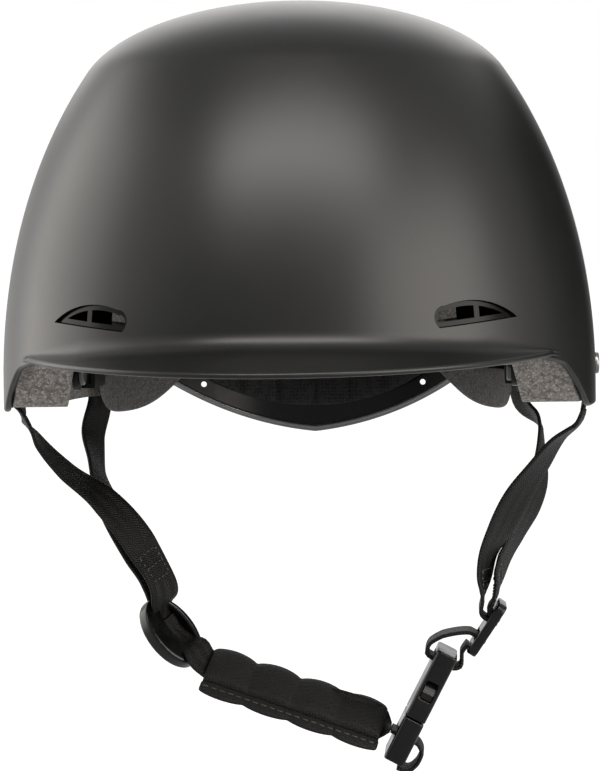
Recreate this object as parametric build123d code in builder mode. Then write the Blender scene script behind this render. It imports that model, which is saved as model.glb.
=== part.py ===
from build123d import *
from functools import cache
from math import asin, cos, degrees, pi, radians, sin, sqrt, tan
import os

# Skateboard helmet with a short moulded visor, in millimetres.
# The origin is the centre of the head opening: x = 0, y = 0 at the widest
# section, z = 0 at the lowest edge of the shell. +Z is up, the front faces -Y
# and +X is the wearer's left.

os.makedirs("parts", exist_ok=True)

# General clearances
seat_gap = 0.3
running_gap = 0.08
overrun = 40.0

# Shell and its dome
half_width = 106.5
front_reach = 118.0
rear_reach = 125.0
crown_height = 144.9
belt_height = 10.0
side_over_crown = 19.6
cap_rise = 35.3
shoulder_drop = 25.7
shoulder_radius = 16.0
shell_wall = 2.4
side_rise = crown_height + side_over_crown - belt_height
shoulder_height = crown_height - shoulder_drop

# Edge of the shell, as seen from the side
brow_height = 19.0
temple_back = -71.0
notch_back = -55.0
notch_height = 16.0
lobe_front = -30.0
lobe_rear = 62.0
nape_start = 96.0
nape_rise = 17.0
nape_height = 24.0
edge_round = 12.0

# Visor
visor_inset = 5.0
visor_overhang = 22.0
visor_half_width = half_width - visor_inset
visor_reach = front_reach + visor_overhang
visor_thickness = 2.0
visor_slope = 22.0
visor_tilt = 2.4
visor_edge_height = 17.5
visor_lip_radius = 0.8

# Foam liner
liner_thickness = 18.0
liner_brow_height = 17.0
liner_temple_back = -46.0
liner_step_back = -37.0
liner_bottom = 2.0
liner_nape_height = 26.0
liner_edge_round = 4.0

# Air vents, and the inserts that line them
vent_length = 36.0
vent_height = 8.7
vent_outline_shares = ((-0.45, -0.5), (0.5, -0.16), (0.05, 0.5), (-0.38, 0.34), (-0.5, -0.14))
front_vent_bearing = 40.8
front_vent_height = 34.3
rear_vent_bearing = 139.0
rear_vent_height = 50.0
insert_wall = 1.5
insert_depth = 9.0
insert_recess = 1.2
insert_rib = 2.2

# Webbing, rivets and anchors
webbing_width = 15.0
webbing_thickness = 1.4
rivet_height = 14.0
rivet_head_radius = 3.9
rivet_head_thickness = 1.3
rivet_head_round = 0.8
rivet_radius = 2.0
washer_radius = 4.2
washer_thickness = 1.0
strap_end_margin = 7.0
rear_strap_bearing = 117.0
anchor_length = 12.0

# Comfort pads
pad_thickness = 6.5
pad_standoff = 1.5
pad_edge_share = 0.33
pad_channel_width = 2.4
pad_channel_depth = 2.6
dot_thickness = 1.2
dot_radius = 8.0
brow_pad_low = 22.0
brow_pad_high = 48.0
brow_pad_sweep = 56.0
side_pad_low = 34.0
side_pad_high = 66.0
side_pad_sweep = 50.0
rear_pad_low = 42.0
rear_pad_high = 72.0
rear_pad_sweep = 44.0
crown_pad_radius = 32.0
side_dot_bearings = (105.0, 125.0)

# Fit cradle: side arms, and the yoke that slides on them
arm_inset = 29.5
arm_offset = half_width - arm_inset
arm_height = 10.0
arm_thickness = 2.0
arm_rear = 12.0
arm_boss_radius = 6.5
arm_pin_back = -30.0
arm_pin_height = 14.0
arm_pin_radius = 2.5
arm_pin_head_radius = 4.6
arm_pin_head_thickness = 1.5
arm_pin_bite = 9.0
arm_pin_round = 0.7
sleeve_front = -5.0
sleeve_length = 28.0
yoke_wall = 1.6
yoke_bend_back = 20.0
yoke_inset = 28.0
yoke_back = rear_reach - yoke_inset
cradle_drop = 14.8
cradle_corner_inset = 21.5
cradle_corner = arm_offset - cradle_corner_inset
cradle_corner_height = 6.3
cradle_sag = 4.0
cradle_arc_share = 0.6
cradle_hole_radius = 1.1
cradle_hole_inset = 12.5
cradle_hole_spread = cradle_corner - cradle_hole_inset
cradle_hole_height = 3.8
cradle_pad_thickness = 3.2
cradle_pad_margin = 9.0
cradle_pad_corner = 3.0

# Fit dial and its rack drive
dial_height = -2.5
dial_radius = 14.0
dial_thickness = 9.0
dial_grips = 24
dial_grip_radius = 1.1
dial_round = 1.2
gear_module = 0.8
pinion_teeth = 10
tooth_thickness_share = 0.35
tooth_tip_share = 0.9
tooth_root_share = 1.25
tooth_sunk_share = 1.6
pressure_angle = 20.0
rack_travel = 12.0
rack_face = 4.0
rack_back = 2.2
rack_overlap = 6.0
housing_wall = 1.6
housing_half_width = 24.0
housing_corner = 4.0
cover_thickness = 1.6
spindle_radius = 1.5
hub_radius = 2.8
spindle_head_radius = 3.2
spindle_head_thickness = 1.4
cover_screw_radius = 0.9
cover_screw_head_radius = 1.7
cover_screw_head_thickness = 0.8
cover_screw_bite = 3.0

# Chin strap webbing: each route's places as shares of the half width, of the spread in depth
# and of the drop below the shell, and the turn of the webbing's width out of the depth
chin_drop = 131.4
strap_spread = 60.0
front_route_right_shares = (
    (-0.954, -0.01, 0.020, -12), (-0.902, 0.02, 0.095, 6), (-0.811, 0.07, 0.178, 48),
    (-0.693, 0.13, 0.262, 72), (-0.580, 0.21, 0.403, 74), (-0.508, 0.266, 0.5495, 30),
)
rear_route_right_shares = (
    (-0.766, 0.87, 0.099, 30), (-0.751, 0.71, 0.188, 14), (-0.701, 0.57, 0.309, 48),
    (-0.610, 0.46, 0.443, 64), (-0.567, 0.40, 0.515, 62), (-0.560, 0.365, 0.570, 61),
)
front_route_left_shares = (
    (0.955, -0.01, 0.026, 4), (0.940, 0.02, 0.056, 10), (0.893, 0.05, 0.105, 26),
    (0.822, 0.10, 0.180, 42), (0.725, 0.15, 0.265, 58), (0.657, 0.20, 0.350, 54),
    (0.618, 0.23, 0.434, 28), (0.619, 0.24, 0.500, 18), (0.612, 0.233, 0.556, 0),
)
rear_route_left_shares = (
    (0.821, 0.84, 0.078, 10), (0.825, 0.72, 0.146, 26), (0.815, 0.62, 0.227, 48),
    (0.791, 0.53, 0.307, 46), (0.737, 0.46, 0.388, 36), (0.691, 0.41, 0.455, 26),
    (0.665, 0.32, 0.500, 14), (0.650, 0.235, 0.556, 0),
)

# Chin pad and its closing flap
chin_back = 14.0
chin_webbing_start_shares = (-0.3688, 0.236, 0.684)
chin_pad_left_shares = (0.2663, 0.909)
chin_pad_right_shares = (-0.3432, 0.737)
chin_pad_width = 18.5
chin_pad_thickness = 9.0
chin_pad_puffs = 4
chin_pad_pinch_share = 0.82
chin_pad_tilt = 48.0
chin_pad_edge_share = 0.2
chin_pad_puff_steps = 4
flap_width = 5.0
flap_thickness = 2.2
flap_scallop = 1.4

# Ring that joins the straps on the wearer's right, and the slider on the left
ring_place_shares = (-0.4712, 0.27, 0.647)
ring_length = 29.0
ring_width = 21.0
ring_thickness = 5.4
ring_rim = 2.6
ring_fall = 52.2
ring_tilt = 35.0
ring_grip_share = 0.42
ring_end_share = 1.4
ring_edge_share = 0.33
slider_place_shares = (0.6259, 0.6343)
slider_length = 22.0
slider_width = 21.0
slider_thickness = 3.6
slider_bar = 5.0
slider_slot = 3.8
slider_round = 3.0
slider_lean = 34.0

# Side-release buckle
buckle_place_shares = (0.3754, 0.881)
buckle_lean = 27.3
buckle_width = 25.0
buckle_thickness = 8.0
buckle_round = 1.6
buckle_wall = 1.6
female_length = 27.0
mouth_length = 8.2
male_length = 17.5
female_bar = 2.6
male_bar = 7.4
buckle_slot = 3.6
tongue_width = 6.0
tongue_length = 12.0
prong_width = 2.4
prong_length = 15.0
prong_hook = 2.2
prong_spread = 9.4
# Webbing at the buckle: places across it and along it from the seam, as shares of its thickness
# and of the length of the half that the webbing passes through
loop_shares = (
    (-0.54, 1.17), (-0.94, 0.99), (-0.87, 0.845), (-0.57, 0.837), (0.60, 0.837), (0.85, 0.907), (0.56, 1.08),
)
link_shares = (
    (-0.68, -0.474), (0.68, -0.474), (1.04, -0.60), (1.06, -0.86), (0.85, -1.08), (0.30, -1.12),
)
link_gap_share = 0.70


def write_piece(piece, name):
    """label a finished piece and write its STEP file"""
    piece.label = name
    export_step(piece, f"parts/{name}.step")


def write_pair(piece, name):
    """write a piece of the wearer's left side, and its mirror image for the right"""
    write_piece(piece, f"{name}_left")
    write_piece(piece.mirror(Plane.YZ), f"{name}_right")


def dome_width(inset, height):
    """half width of the dome drawn in by inset, at a height below its shoulder"""
    return (half_width - inset) * sqrt(1 - ((height - belt_height) / (side_rise - inset)) ** 2)


def dome_half(inset, reach, front):
    """half a dome: side and cap ellipses turned about Z, then stretched along Y"""
    width, rise, top = half_width - inset, side_rise - inset, crown_height - inset
    shoulder = shoulder_height - inset
    cap_share = 1 - (top - shoulder) / cap_rise
    cap_width = dome_width(inset, shoulder) / sqrt(1 - cap_share**2)
    with BuildPart() as half:
        with BuildSketch(Plane.XZ) as section:
            with BuildLine():
                Polyline((0, top), (0, -overrun), (width, -overrun), (width, belt_height))
                EllipticalCenterArc(
                    (0, belt_height), width, rise, 0,
                    arc_size=degrees(asin((shoulder - belt_height) / rise)),
                )
                EllipticalCenterArc(
                    (0, top - cap_rise), cap_width, cap_rise, degrees(asin(cap_share)),
                    arc_size=90 - degrees(asin(cap_share)),
                )
            make_face()
            meeting = section.vertices().filter_by(lambda v: abs(v.Y - shoulder) < seat_gap)
            fillet(meeting, shoulder_radius)
        revolve(axis=Axis.Z, revolution_arc=180)
        scale(by=(1, (reach - inset) / width, 1))
        if front:
            mirror(about=Plane.XZ, mode=Mode.REPLACE)
    return half.part


@cache
def dome(inset):
    """whole solid dome, drawn in from the outside of the shell by inset"""
    rear = dome_half(inset, rear_reach, front=False)
    front = dome_half(inset, front_reach, front=True)
    with BuildPart() as whole:
        add(rear)
        add(front)
    return whole.part


def cap_drop(inset, width):
    """fall of a dome's cap from its top to a half width"""
    shoulder = shoulder_height - inset
    cap_share = 1 - (crown_height - shoulder_height) / cap_rise
    cap_width = dome_width(inset, shoulder) / sqrt(1 - cap_share**2)
    return cap_rise * (1 - sqrt(1 - (width / cap_width) ** 2))


def wall_plane(bearing, height, inset):
    """plane on a dome: x along the wall towards larger bearings, y up, z outwards; 0 is the front"""
    width = dome_width(inset, height)
    reach = (front_reach if bearing < 90 else rear_reach) - inset
    depth = reach * width / (half_width - inset)
    out = Vector(sin(radians(bearing)), -cos(radians(bearing)), 0)
    span = sqrt((width * out.X) ** 2 + (depth * out.Y) ** 2)
    origin = (width**2 * out.X / span, depth**2 * out.Y / span, height)
    return Plane(origin=origin, x_dir=(-out.Y, out.X, 0), z_dir=out)


def below_edge(corners, rounding):
    """everything under an edge that is drawn from the side as (y, z) corners"""
    with BuildPart() as cut:
        with BuildSketch(Plane.YZ):
            with BuildLine() as edge:
                FilletPolyline(*corners, radius=rounding)
                start, end = edge.line @ 0, edge.line @ 1
                Polyline(end, (end.X, -2 * overrun), (start.X, -2 * overrun), start)
            make_face()
        extrude(amount=half_width + overrun, both=True)
    return cut.part


def cylinder_along(plane, radius, start, end):
    """round bar on a plane's normal, from one distance to another"""
    with BuildPart() as bar:
        with BuildSketch(plane.offset(start)):
            Circle(radius)
        extrude(amount=end - start)
    return bar.part


# Air vents: a teardrop, blunt at its inner end and pointed at its outer end
def vent_prism(plane, grow, flip):
    """the vent's outline, grown by a distance and pushed right through the wall"""
    points = [(along * vent_length, up * vent_height) for along, up in vent_outline_shares]
    with BuildPart() as prism:
        with BuildSketch(plane.offset(-overrun)):
            with BuildLine():
                Line(points[0], points[1])
                ThreePointArc(points[1], points[2], points[3])
                ThreePointArc(points[3], points[4], points[0])
            make_face()
            if grow:
                offset(amount=grow, kind=Kind.INTERSECTION)
            if flip:
                mirror(about=Plane.YZ, mode=Mode.REPLACE)
        extrude(amount=2 * overrun)
    return prism.part


front_vent = wall_plane(front_vent_bearing, front_vent_height, 0)
rear_vent = wall_plane(rear_vent_bearing, rear_vent_height, 0)
vent_hole = vent_prism(front_vent, 0, False) + vent_prism(rear_vent, 0, True)
vent_holes = [vent_hole, vent_hole.mirror(Plane.YZ)]

insert_front = dome(insert_recess)
insert_rear = dome(insert_recess + insert_depth)


def vent_insert(plane, flip):
    """tray that lines a vent, with a rib across its middle"""
    window = vent_prism(plane, -seat_gap - insert_wall, flip)
    with BuildPart() as rib:
        with BuildSketch(plane.offset(-overrun)):
            Rectangle(insert_rib, 2 * vent_height)
        extrude(amount=2 * overrun)
    with BuildPart() as insert:
        add(vent_prism(plane, -seat_gap, flip))
        add(window - rib.part, mode=Mode.SUBTRACT)
        add(insert_front, mode=Mode.INTERSECT)
        add(insert_rear, mode=Mode.SUBTRACT)
    return insert.part


write_pair(vent_insert(front_vent, False), "front_vent_insert")
write_pair(vent_insert(rear_vent, True), "rear_vent_insert")


# Strap anchors: a rivet on each side of the shell, a plug in each rear slot of the liner
liner_outside_inset = shell_wall + seat_gap
rivet_plane = Plane(origin=(half_width, 0, rivet_height), x_dir=(0, 1, 0), z_dir=(1, 0, 0))
strap_depth = shell_wall + 3 * seat_gap
washer_depth = strap_depth + webbing_thickness + seat_gap
pocket_depth = washer_depth + washer_thickness + seat_gap
with BuildPart() as rivet:
    with BuildSketch(rivet_plane):
        Circle(rivet_head_radius)
    extrude(amount=rivet_head_thickness)
    fillet(rivet.edges().group_by(Axis.X)[-1], rivet_head_round)
    add(cylinder_along(rivet_plane, rivet_radius, -washer_depth - washer_thickness, 0))
with BuildPart() as washer:
    add(cylinder_along(rivet_plane, washer_radius, -washer_depth - washer_thickness, -washer_depth))
    add(cylinder_along(rivet_plane, rivet_radius + running_gap, -overrun, 0), mode=Mode.SUBTRACT)
write_piece(Compound([rivet.part, rivet.part.mirror(Plane.YZ)]), "strap_rivets")
write_piece(Compound([washer.part, washer.part.mirror(Plane.YZ)]), "rivet_washers")

slot_plane = wall_plane(rear_strap_bearing, rivet_height, liner_outside_inset + liner_thickness / 2)
anchor_out = liner_thickness / 2 - washer_thickness - 2 * seat_gap
with BuildPart() as anchor:
    add(cylinder_along(slot_plane, rivet_radius, anchor_out - anchor_length, anchor_out))
    add(cylinder_along(slot_plane, washer_radius, anchor_out, anchor_out + washer_thickness))
write_piece(Compound([anchor.part, anchor.part.mirror(Plane.YZ)]), "rear_strap_anchors")

# Outer shell: one dome less another, trimmed to its edge, with the visor moulded on
slope = tan(radians(visor_slope))
root_rise = overrun * slope
with BuildPart() as visor:
    with BuildSketch(Plane.XZ) as visor_section:
        with BuildLine():
            Polyline(
                (visor_half_width - overrun, visor_edge_height + root_rise),
                (visor_half_width, visor_edge_height),
                (visor_half_width, visor_edge_height - visor_thickness),
                (visor_half_width - overrun, visor_edge_height - visor_thickness + root_rise),
                close=True,
            )
        make_face()
        fillet(visor_section.vertices().group_by(Axis.X)[-1], visor_lip_radius)
    revolve(axis=Axis.Z, revolution_arc=180)
    scale(by=(1, visor_reach / visor_half_width, 1))
    mirror(about=Plane.XZ, mode=Mode.REPLACE)
visor_tip = Axis((0, -visor_reach, visor_edge_height), (1, 0, 0))
visor_flange = visor.part.rotate(visor_tip, visor_tilt) - dome(shell_wall / 2)

shell_edge = (
    (-front_reach - overrun, brow_height),
    (temple_back, brow_height),
    (notch_back, notch_height),
    (lobe_front, 0),
    (lobe_rear, 0),
    (nape_start, nape_rise),
    (rear_reach, nape_height),
    (rear_reach + overrun, nape_height),
)
outside, inside = dome(0), dome(shell_wall)
rivet_hole = cylinder_along(rivet_plane, rivet_radius + running_gap, -overrun, overrun)
with BuildPart() as outer_shell:
    add(outside)
    add(inside, mode=Mode.SUBTRACT)
    add(below_edge(shell_edge, edge_round), mode=Mode.SUBTRACT)
    add(visor_flange)
    for hole in (*vent_holes, rivet_hole, rivet_hole.mirror(Plane.YZ)):
        add(hole, mode=Mode.SUBTRACT)
write_piece(outer_shell.part, "outer_shell")

# Foam liner, with its vent channels, strap pockets and pin holes
liner_inset = liner_outside_inset + liner_thickness
liner_edge = (
    (-front_reach - overrun, liner_brow_height),
    (liner_temple_back, liner_brow_height),
    (liner_step_back, liner_bottom),
    (lobe_rear, liner_bottom),
    (nape_start, nape_rise + liner_bottom),
    (rear_reach, liner_nape_height),
    (rear_reach + overrun, liner_nape_height),
)
arm_pin_plane = Plane(
    origin=(arm_offset, arm_pin_back, arm_pin_height), x_dir=(0, 1, 0), z_dir=(1, 0, 0)
)
pin_depth_share = arm_pin_back / (front_reach - liner_inset)
pin_wall = dome_width(liner_inset, arm_pin_height) * sqrt(1 - pin_depth_share**2)
pin_end = pin_wall + arm_pin_bite - arm_offset
with BuildPart() as liner_cuts:
    with BuildSketch(rivet_plane.offset(-washer_depth)):
        with Locations((0, -overrun + strap_end_margin + 2 * seat_gap)):
            Rectangle(webbing_width + 4 * seat_gap, 2 * overrun)
    extrude(amount=overrun)
    add(cylinder_along(rivet_plane, washer_radius + seat_gap, -pocket_depth, overrun))
    with BuildSketch(slot_plane):
        with Locations((0, -overrun + strap_end_margin + 2 * seat_gap)):
            Rectangle(webbing_width + 4 * seat_gap, 2 * overrun)
    extrude(amount=webbing_thickness / 2 + seat_gap, both=True)
    anchor_in = anchor_out - anchor_length
    add(cylinder_along(slot_plane, rivet_radius + running_gap, anchor_in - seat_gap, overrun))
    add(cylinder_along(slot_plane, washer_radius + seat_gap, anchor_out - seat_gap, overrun))
    add(cylinder_along(arm_pin_plane, arm_pin_radius + running_gap, 0, pin_end + seat_gap))
cuts = liner_cuts.part
with BuildPart() as eps_liner:
    add(dome(liner_outside_inset))
    add(dome(liner_inset), mode=Mode.SUBTRACT)
    add(below_edge(liner_edge, liner_edge_round), mode=Mode.SUBTRACT)
    for hole in (*vent_holes, cuts, cuts.mirror(Plane.YZ)):
        add(hole, mode=Mode.SUBTRACT)
write_piece(eps_liner.part, "eps_liner")

# Comfort pads: a crowned section turned about Z and stretched to the liner's inside
pad_inset = liner_inset + pad_standoff


def comfort_pad(start, sweep, low, high, reach, channels):
    """crowned pad behind the liner's inner wall, from a bearing off +X, with sewn channels"""
    middle = (low + high) / 2
    near, far, belt = (dome_width(pad_inset, height) for height in (low, high, middle))
    edge = pad_edge_share * pad_thickness
    turned = Plane.XZ.rotated((0, 0, start))
    with BuildPart() as pad:
        with BuildSketch(turned):
            with BuildLine():
                ThreePointArc((near, low), (belt, middle), (far, high))
                Line((far, high), (far - edge, high))
                ThreePointArc((far - edge, high), (belt - pad_thickness, middle), (near - edge, low))
                Line((near - edge, low), (near, low))
            make_face()
        revolve(axis=Axis.Z, revolution_arc=sweep)
        for index in range(channels):
            bearing = start + (index + 1) * sweep / (channels + 1)
            with BuildSketch(Plane.XZ.rotated((0, 0, bearing))):
                with Locations((belt - pad_thickness, middle)):
                    Rectangle(2 * pad_channel_depth, 2 * (high - low))
            extrude(amount=pad_channel_width / 2, both=True, mode=Mode.SUBTRACT)
        scale(by=(1, (reach - pad_inset) / (half_width - pad_inset), 1))
    return pad.part


def fixing_dot(bearing, height):
    """hook disc on the liner, behind a comfort pad"""
    plane = wall_plane(bearing, height, liner_inset)
    with BuildPart() as dot:
        with BuildSketch(plane.offset(-2 * pad_standoff)):
            Circle(dot_radius)
        extrude(amount=3 * pad_standoff)
        add(dome(liner_inset + seat_gap / 3), mode=Mode.INTERSECT)
        add(dome(liner_inset + dot_thickness), mode=Mode.SUBTRACT)
    return dot.part


front_start, rear_start = 270, 90
brow_pad = comfort_pad(
    front_start - brow_pad_sweep / 2, brow_pad_sweep, brow_pad_low, brow_pad_high, front_reach, 3
)
write_piece(brow_pad, "brow_pad")
rear_pad = comfort_pad(
    rear_start - rear_pad_sweep / 2, rear_pad_sweep, rear_pad_low, rear_pad_high, rear_reach, 2
)
write_piece(rear_pad, "rear_pad")
side_pad = comfort_pad(0, side_pad_sweep, side_pad_low, side_pad_high, rear_reach, 2)
write_pair(side_pad, "side_pad")
crown_top = crown_height - pad_inset
crown_edge = crown_top - cap_drop(pad_inset, crown_pad_radius)
crown_rim = pad_edge_share * pad_thickness
with BuildPart() as crown_pad:
    with BuildSketch(Plane.XZ):
        with BuildLine():
            TangentArc((0, crown_top), (crown_pad_radius, crown_edge), tangent=(1, 0))
            Line((crown_pad_radius, crown_edge), (crown_pad_radius, crown_edge - crown_rim))
            TangentArc(
                (0, crown_top - pad_thickness), (crown_pad_radius, crown_edge - crown_rim),
                tangent=(1, 0),
            )
            Line((0, crown_top - pad_thickness), (0, crown_top))
        make_face()
    revolve(axis=Axis.Z)
write_piece(crown_pad.part, "crown_pad")

dot_places = (
    (brow_pad_sweep / 4, (brow_pad_low + brow_pad_high) / 2),
    *((bearing, (side_pad_low + side_pad_high) / 2) for bearing in side_dot_bearings),
    (180 - rear_pad_sweep / 4, (rear_pad_low + rear_pad_high) / 2),
)
dots = [fixing_dot(bearing, height) for bearing, height in dot_places]
with BuildPart() as crown_dot:
    with BuildSketch(Plane.XY.offset(crown_top)):
        Circle(dot_radius)
    extrude(amount=2 * pad_standoff)
    add(dome(liner_inset + seat_gap / 3), mode=Mode.INTERSECT)
    add(dome(liner_inset + dot_thickness), mode=Mode.SUBTRACT)
write_piece(Compound([*dots, *(dot.mirror(Plane.YZ) for dot in dots), crown_dot.part]), "hook_dots")

# Fit cradle: a flat arm on each side that turns on a pin in the liner
arm_out = arm_offset + arm_thickness / 2
arm_in = arm_offset - arm_thickness / 2
with BuildPart() as arm:
    with BuildSketch(Plane.YZ.offset(arm_in)):
        with Locations(((arm_pin_back + arm_rear) / 2, arm_pin_height)):
            Rectangle(arm_rear - arm_pin_back, arm_height)
        with Locations((arm_pin_back, arm_pin_height)):
            Circle(arm_boss_radius)
    extrude(amount=arm_thickness)
    add(cylinder_along(arm_pin_plane, arm_pin_radius + running_gap, -overrun, overrun), mode=Mode.SUBTRACT)
write_pair(arm.part, "cradle_arm")

with BuildPart() as arm_pin:
    head_end = -arm_thickness / 2 - seat_gap
    add(cylinder_along(arm_pin_plane, arm_pin_radius, head_end, pin_end))
    add(cylinder_along(arm_pin_plane, arm_pin_head_radius, head_end - arm_pin_head_thickness, head_end))
    fillet(arm_pin.edges().group_by(Axis.X)[0], arm_pin_round)
write_pair(arm_pin.part, "arm_pin")

# Cradle yoke: a band round the nape between two sleeves, with the dial's housing on its back
band_half = arm_out + seat_gap + yoke_wall
arm_low, arm_high = arm_pin_height - arm_height / 2, arm_pin_height + arm_height / 2


def band_area(draw_in):
    """half of the area inside the yoke's band, in plan, drawn in from its outside"""
    half, back = band_half - draw_in, yoke_back - draw_in
    with BuildSketch() as area:
        with BuildLine():
            Polyline((0, back), (0, sleeve_front), (half, sleeve_front), (half, yoke_bend_back))
            EllipticalCenterArc((0, yoke_bend_back), half, back - yoke_bend_back, 0, arc_size=90)
        make_face()
    return area.sketch


def cradle_front(low, corner, corner_height, end, end_low, high):
    """half outline of the cradle from the front: its lower edge is one arc up to a corner"""
    share = cradle_arc_share
    middle = (corner * share, low + (corner_height - low) * share - cradle_sag)
    with BuildSketch() as outline:
        with BuildLine():
            ThreePointArc((0, low), middle, (corner, corner_height))
            Polyline((corner, corner_height), (end, end_low), (end, high), (0, high), (0, low))
        make_face()
    return outline.sketch


pinion_pitch_radius = gear_module * pinion_teeth / 2
dedendum = tooth_root_share * gear_module
tray_half = pinion_pitch_radius + dedendum + rack_back + seat_gap
tray_floor = yoke_back + housing_wall
gear_back = tray_floor + seat_gap
cover_back = gear_back + rack_face + seat_gap
dial_back = cover_back + cover_thickness + seat_gap
behind = Plane(origin=(0, 0, dial_height), x_dir=(-1, 0, 0), z_dir=(0, 1, 0))
screw_spread = housing_half_width - housing_corner
boss_radius = cover_screw_radius + housing_wall

with BuildPart() as band:
    with BuildSketch(Plane.XY.offset(-overrun)):
        add(band_area(0))
        add(band_area(yoke_wall), mode=Mode.SUBTRACT)
    extrude(amount=2 * overrun + arm_high)
    with BuildSketch(Plane.XZ.offset(-yoke_back - overrun)):
        ends = band_half + overrun, arm_low, arm_high
        add(cradle_front(-cradle_drop, cradle_corner, cradle_corner_height, *ends))
    extrude(amount=yoke_back + 2 * overrun, mode=Mode.INTERSECT)
    with BuildSketch(Plane.XZ.offset(-yoke_back - overrun)):
        with Locations((cradle_hole_spread, cradle_hole_height)):
            Circle(cradle_hole_radius)
    extrude(amount=yoke_back + overrun, mode=Mode.SUBTRACT)
    with BuildSketch(Plane.XZ.offset(-sleeve_front)):
        with Locations(((band_half + arm_in - seat_gap - yoke_wall) / 2, arm_pin_height)):
            sleeve_half = seat_gap + yoke_wall
            Rectangle(band_half - arm_in + sleeve_half, arm_height + 2 * sleeve_half)
    extrude(amount=-sleeve_length)
    with BuildSketch(Plane.XZ.offset(-sleeve_front + seat_gap)):
        with Locations((arm_offset, arm_pin_height)):
            Rectangle(arm_thickness + 2 * seat_gap, arm_height + 2 * seat_gap)
    extrude(amount=-sleeve_length - 2 * seat_gap, mode=Mode.SUBTRACT)
    mirror(about=Plane.YZ)

with BuildPart() as tray:
    with BuildSketch(behind):
        RectangleRounded(2 * housing_half_width, 2 * (tray_half + housing_wall), housing_corner)
    extrude(amount=cover_back)
    with BuildSketch(behind.offset(tray_floor)):
        tray_width = housing_half_width - housing_wall
        RectangleRounded(2 * tray_width, 2 * tray_half, housing_corner - housing_wall)
        with Locations((screw_spread, 0), (-screw_spread, 0)):
            Circle(boss_radius, mode=Mode.SUBTRACT)
    extrude(amount=overrun, mode=Mode.SUBTRACT)
    with BuildSketch(Plane.XY.offset(-overrun)):
        add(band_area(yoke_wall / 2))
        mirror(about=Plane.YZ)
    extrude(amount=2 * overrun, mode=Mode.SUBTRACT)

spindle_hole = cylinder_along(behind, spindle_radius + running_gap, yoke_back / 2, yoke_back + overrun)
with BuildPart() as cradle_yoke:
    add(band.part)
    add(tray.part)
    add(spindle_hole, mode=Mode.SUBTRACT)
    with BuildSketch(behind.offset(cover_back)):
        with Locations((screw_spread, 0), (-screw_spread, 0)):
            Circle(cover_screw_radius + running_gap)
    extrude(amount=-cover_screw_bite - seat_gap, mode=Mode.SUBTRACT)
write_piece(cradle_yoke.part, "cradle_yoke")

with BuildPart() as cradle_pad:
    with BuildSketch(Plane.XY.offset(-overrun)):
        add(band_area(yoke_wall + seat_gap))
        add(band_area(yoke_wall + seat_gap + cradle_pad_thickness), mode=Mode.SUBTRACT)
    extrude(amount=2 * overrun + arm_high)
    with BuildSketch(Plane.XZ.offset(-yoke_back - overrun)):
        edge, trim = cradle_corner - cradle_pad_margin, cradle_pad_corner
        ends = edge + trim, arm_low + trim, arm_high - trim
        add(cradle_front(cradle_pad_margin - cradle_drop, edge, arm_low, *ends))
    extrude(amount=yoke_back + overrun - yoke_bend_back, mode=Mode.INTERSECT)
    mirror(about=Plane.YZ)
write_piece(cradle_pad.part, "cradle_pad")

# Rack drive: a pinion between two toothed racks, one from each side of the band; tooth sizes are
# shares of the module
pitch = pi * gear_module
addendum = tooth_tip_share * gear_module
tooth = tooth_thickness_share * pitch
flank = tan(radians(pressure_angle))


def tooth_outline(root, tip, root_depth):
    """trapezoid tooth pointing along +Y, as thick as planned at the pitch line"""
    wide, slim = tooth / 2 + root_depth * flank, tooth / 2 - addendum * flank
    return ((-wide, root), (wide, root), (slim, tip), (-slim, tip))


sunk = tooth_sunk_share * dedendum
with BuildPart() as pinion:
    with BuildSketch(behind.offset(gear_back)):
        Circle(pinion_pitch_radius - dedendum)
        with PolarLocations(0, pinion_teeth):
            Polygon(
                *tooth_outline(pinion_pitch_radius - sunk, pinion_pitch_radius + addendum, sunk),
                align=None,
            )
    extrude(amount=rack_face)
    add(cylinder_along(behind, hub_radius, gear_back + rack_face / 2, dial_back))
    add(spindle_hole, mode=Mode.SUBTRACT)
write_piece(pinion.part, "dial_pinion")

rack_length = rack_travel + 2 * rack_overlap
teeth_out, teeth_in = int((rack_length - rack_overlap) / pitch), int(rack_overlap / pitch)
dial_turning = Axis((0, 0, dial_height), (0, 1, 0))
with BuildPart() as rack:
    with BuildSketch(behind.offset(gear_back)):
        with Locations((rack_overlap, -pinion_pitch_radius - dedendum)):
            Rectangle(rack_length, rack_back, align=(Align.MAX, Align.MAX))
        for index in range(-teeth_out, teeth_in):
            with Locations(((index + 0.5) * pitch, 0)):
                Polygon(
                    *tooth_outline(-pinion_pitch_radius - sunk, addendum - pinion_pitch_radius, sunk),
                    align=None,
                )
    extrude(amount=rack_face)
write_piece(rack.part, "rack_left")
write_piece(rack.part.rotate(dial_turning, 180), "rack_right")

with BuildPart() as housing_cover:
    with BuildSketch(behind.offset(cover_back)):
        RectangleRounded(2 * housing_half_width, 2 * (tray_half + housing_wall), housing_corner)
        Circle(hub_radius + seat_gap, mode=Mode.SUBTRACT)
        with Locations((screw_spread, 0), (-screw_spread, 0)):
            Circle(cover_screw_radius + running_gap, mode=Mode.SUBTRACT)
    extrude(amount=cover_thickness)
    with BuildSketch(behind.offset(cover_back + cover_thickness)):
        with Locations((screw_spread, 0), (-screw_spread, 0)):
            Circle(cover_screw_head_radius + seat_gap)
    extrude(amount=-cover_screw_head_thickness, mode=Mode.SUBTRACT)
write_piece(housing_cover.part, "dial_housing_cover")

head_seat = cover_back + cover_thickness - cover_screw_head_thickness
with BuildPart() as cover_screws:
    for side in (screw_spread, -screw_spread):
        plane = Plane(origin=(side, 0, dial_height), x_dir=(-1, 0, 0), z_dir=(0, 1, 0))
        add(cylinder_along(plane, cover_screw_radius, cover_back - cover_screw_bite, head_seat))
        add(cylinder_along(plane, cover_screw_head_radius, head_seat, cover_back + cover_thickness))
write_piece(cover_screws.part, "cover_screws")

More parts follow.
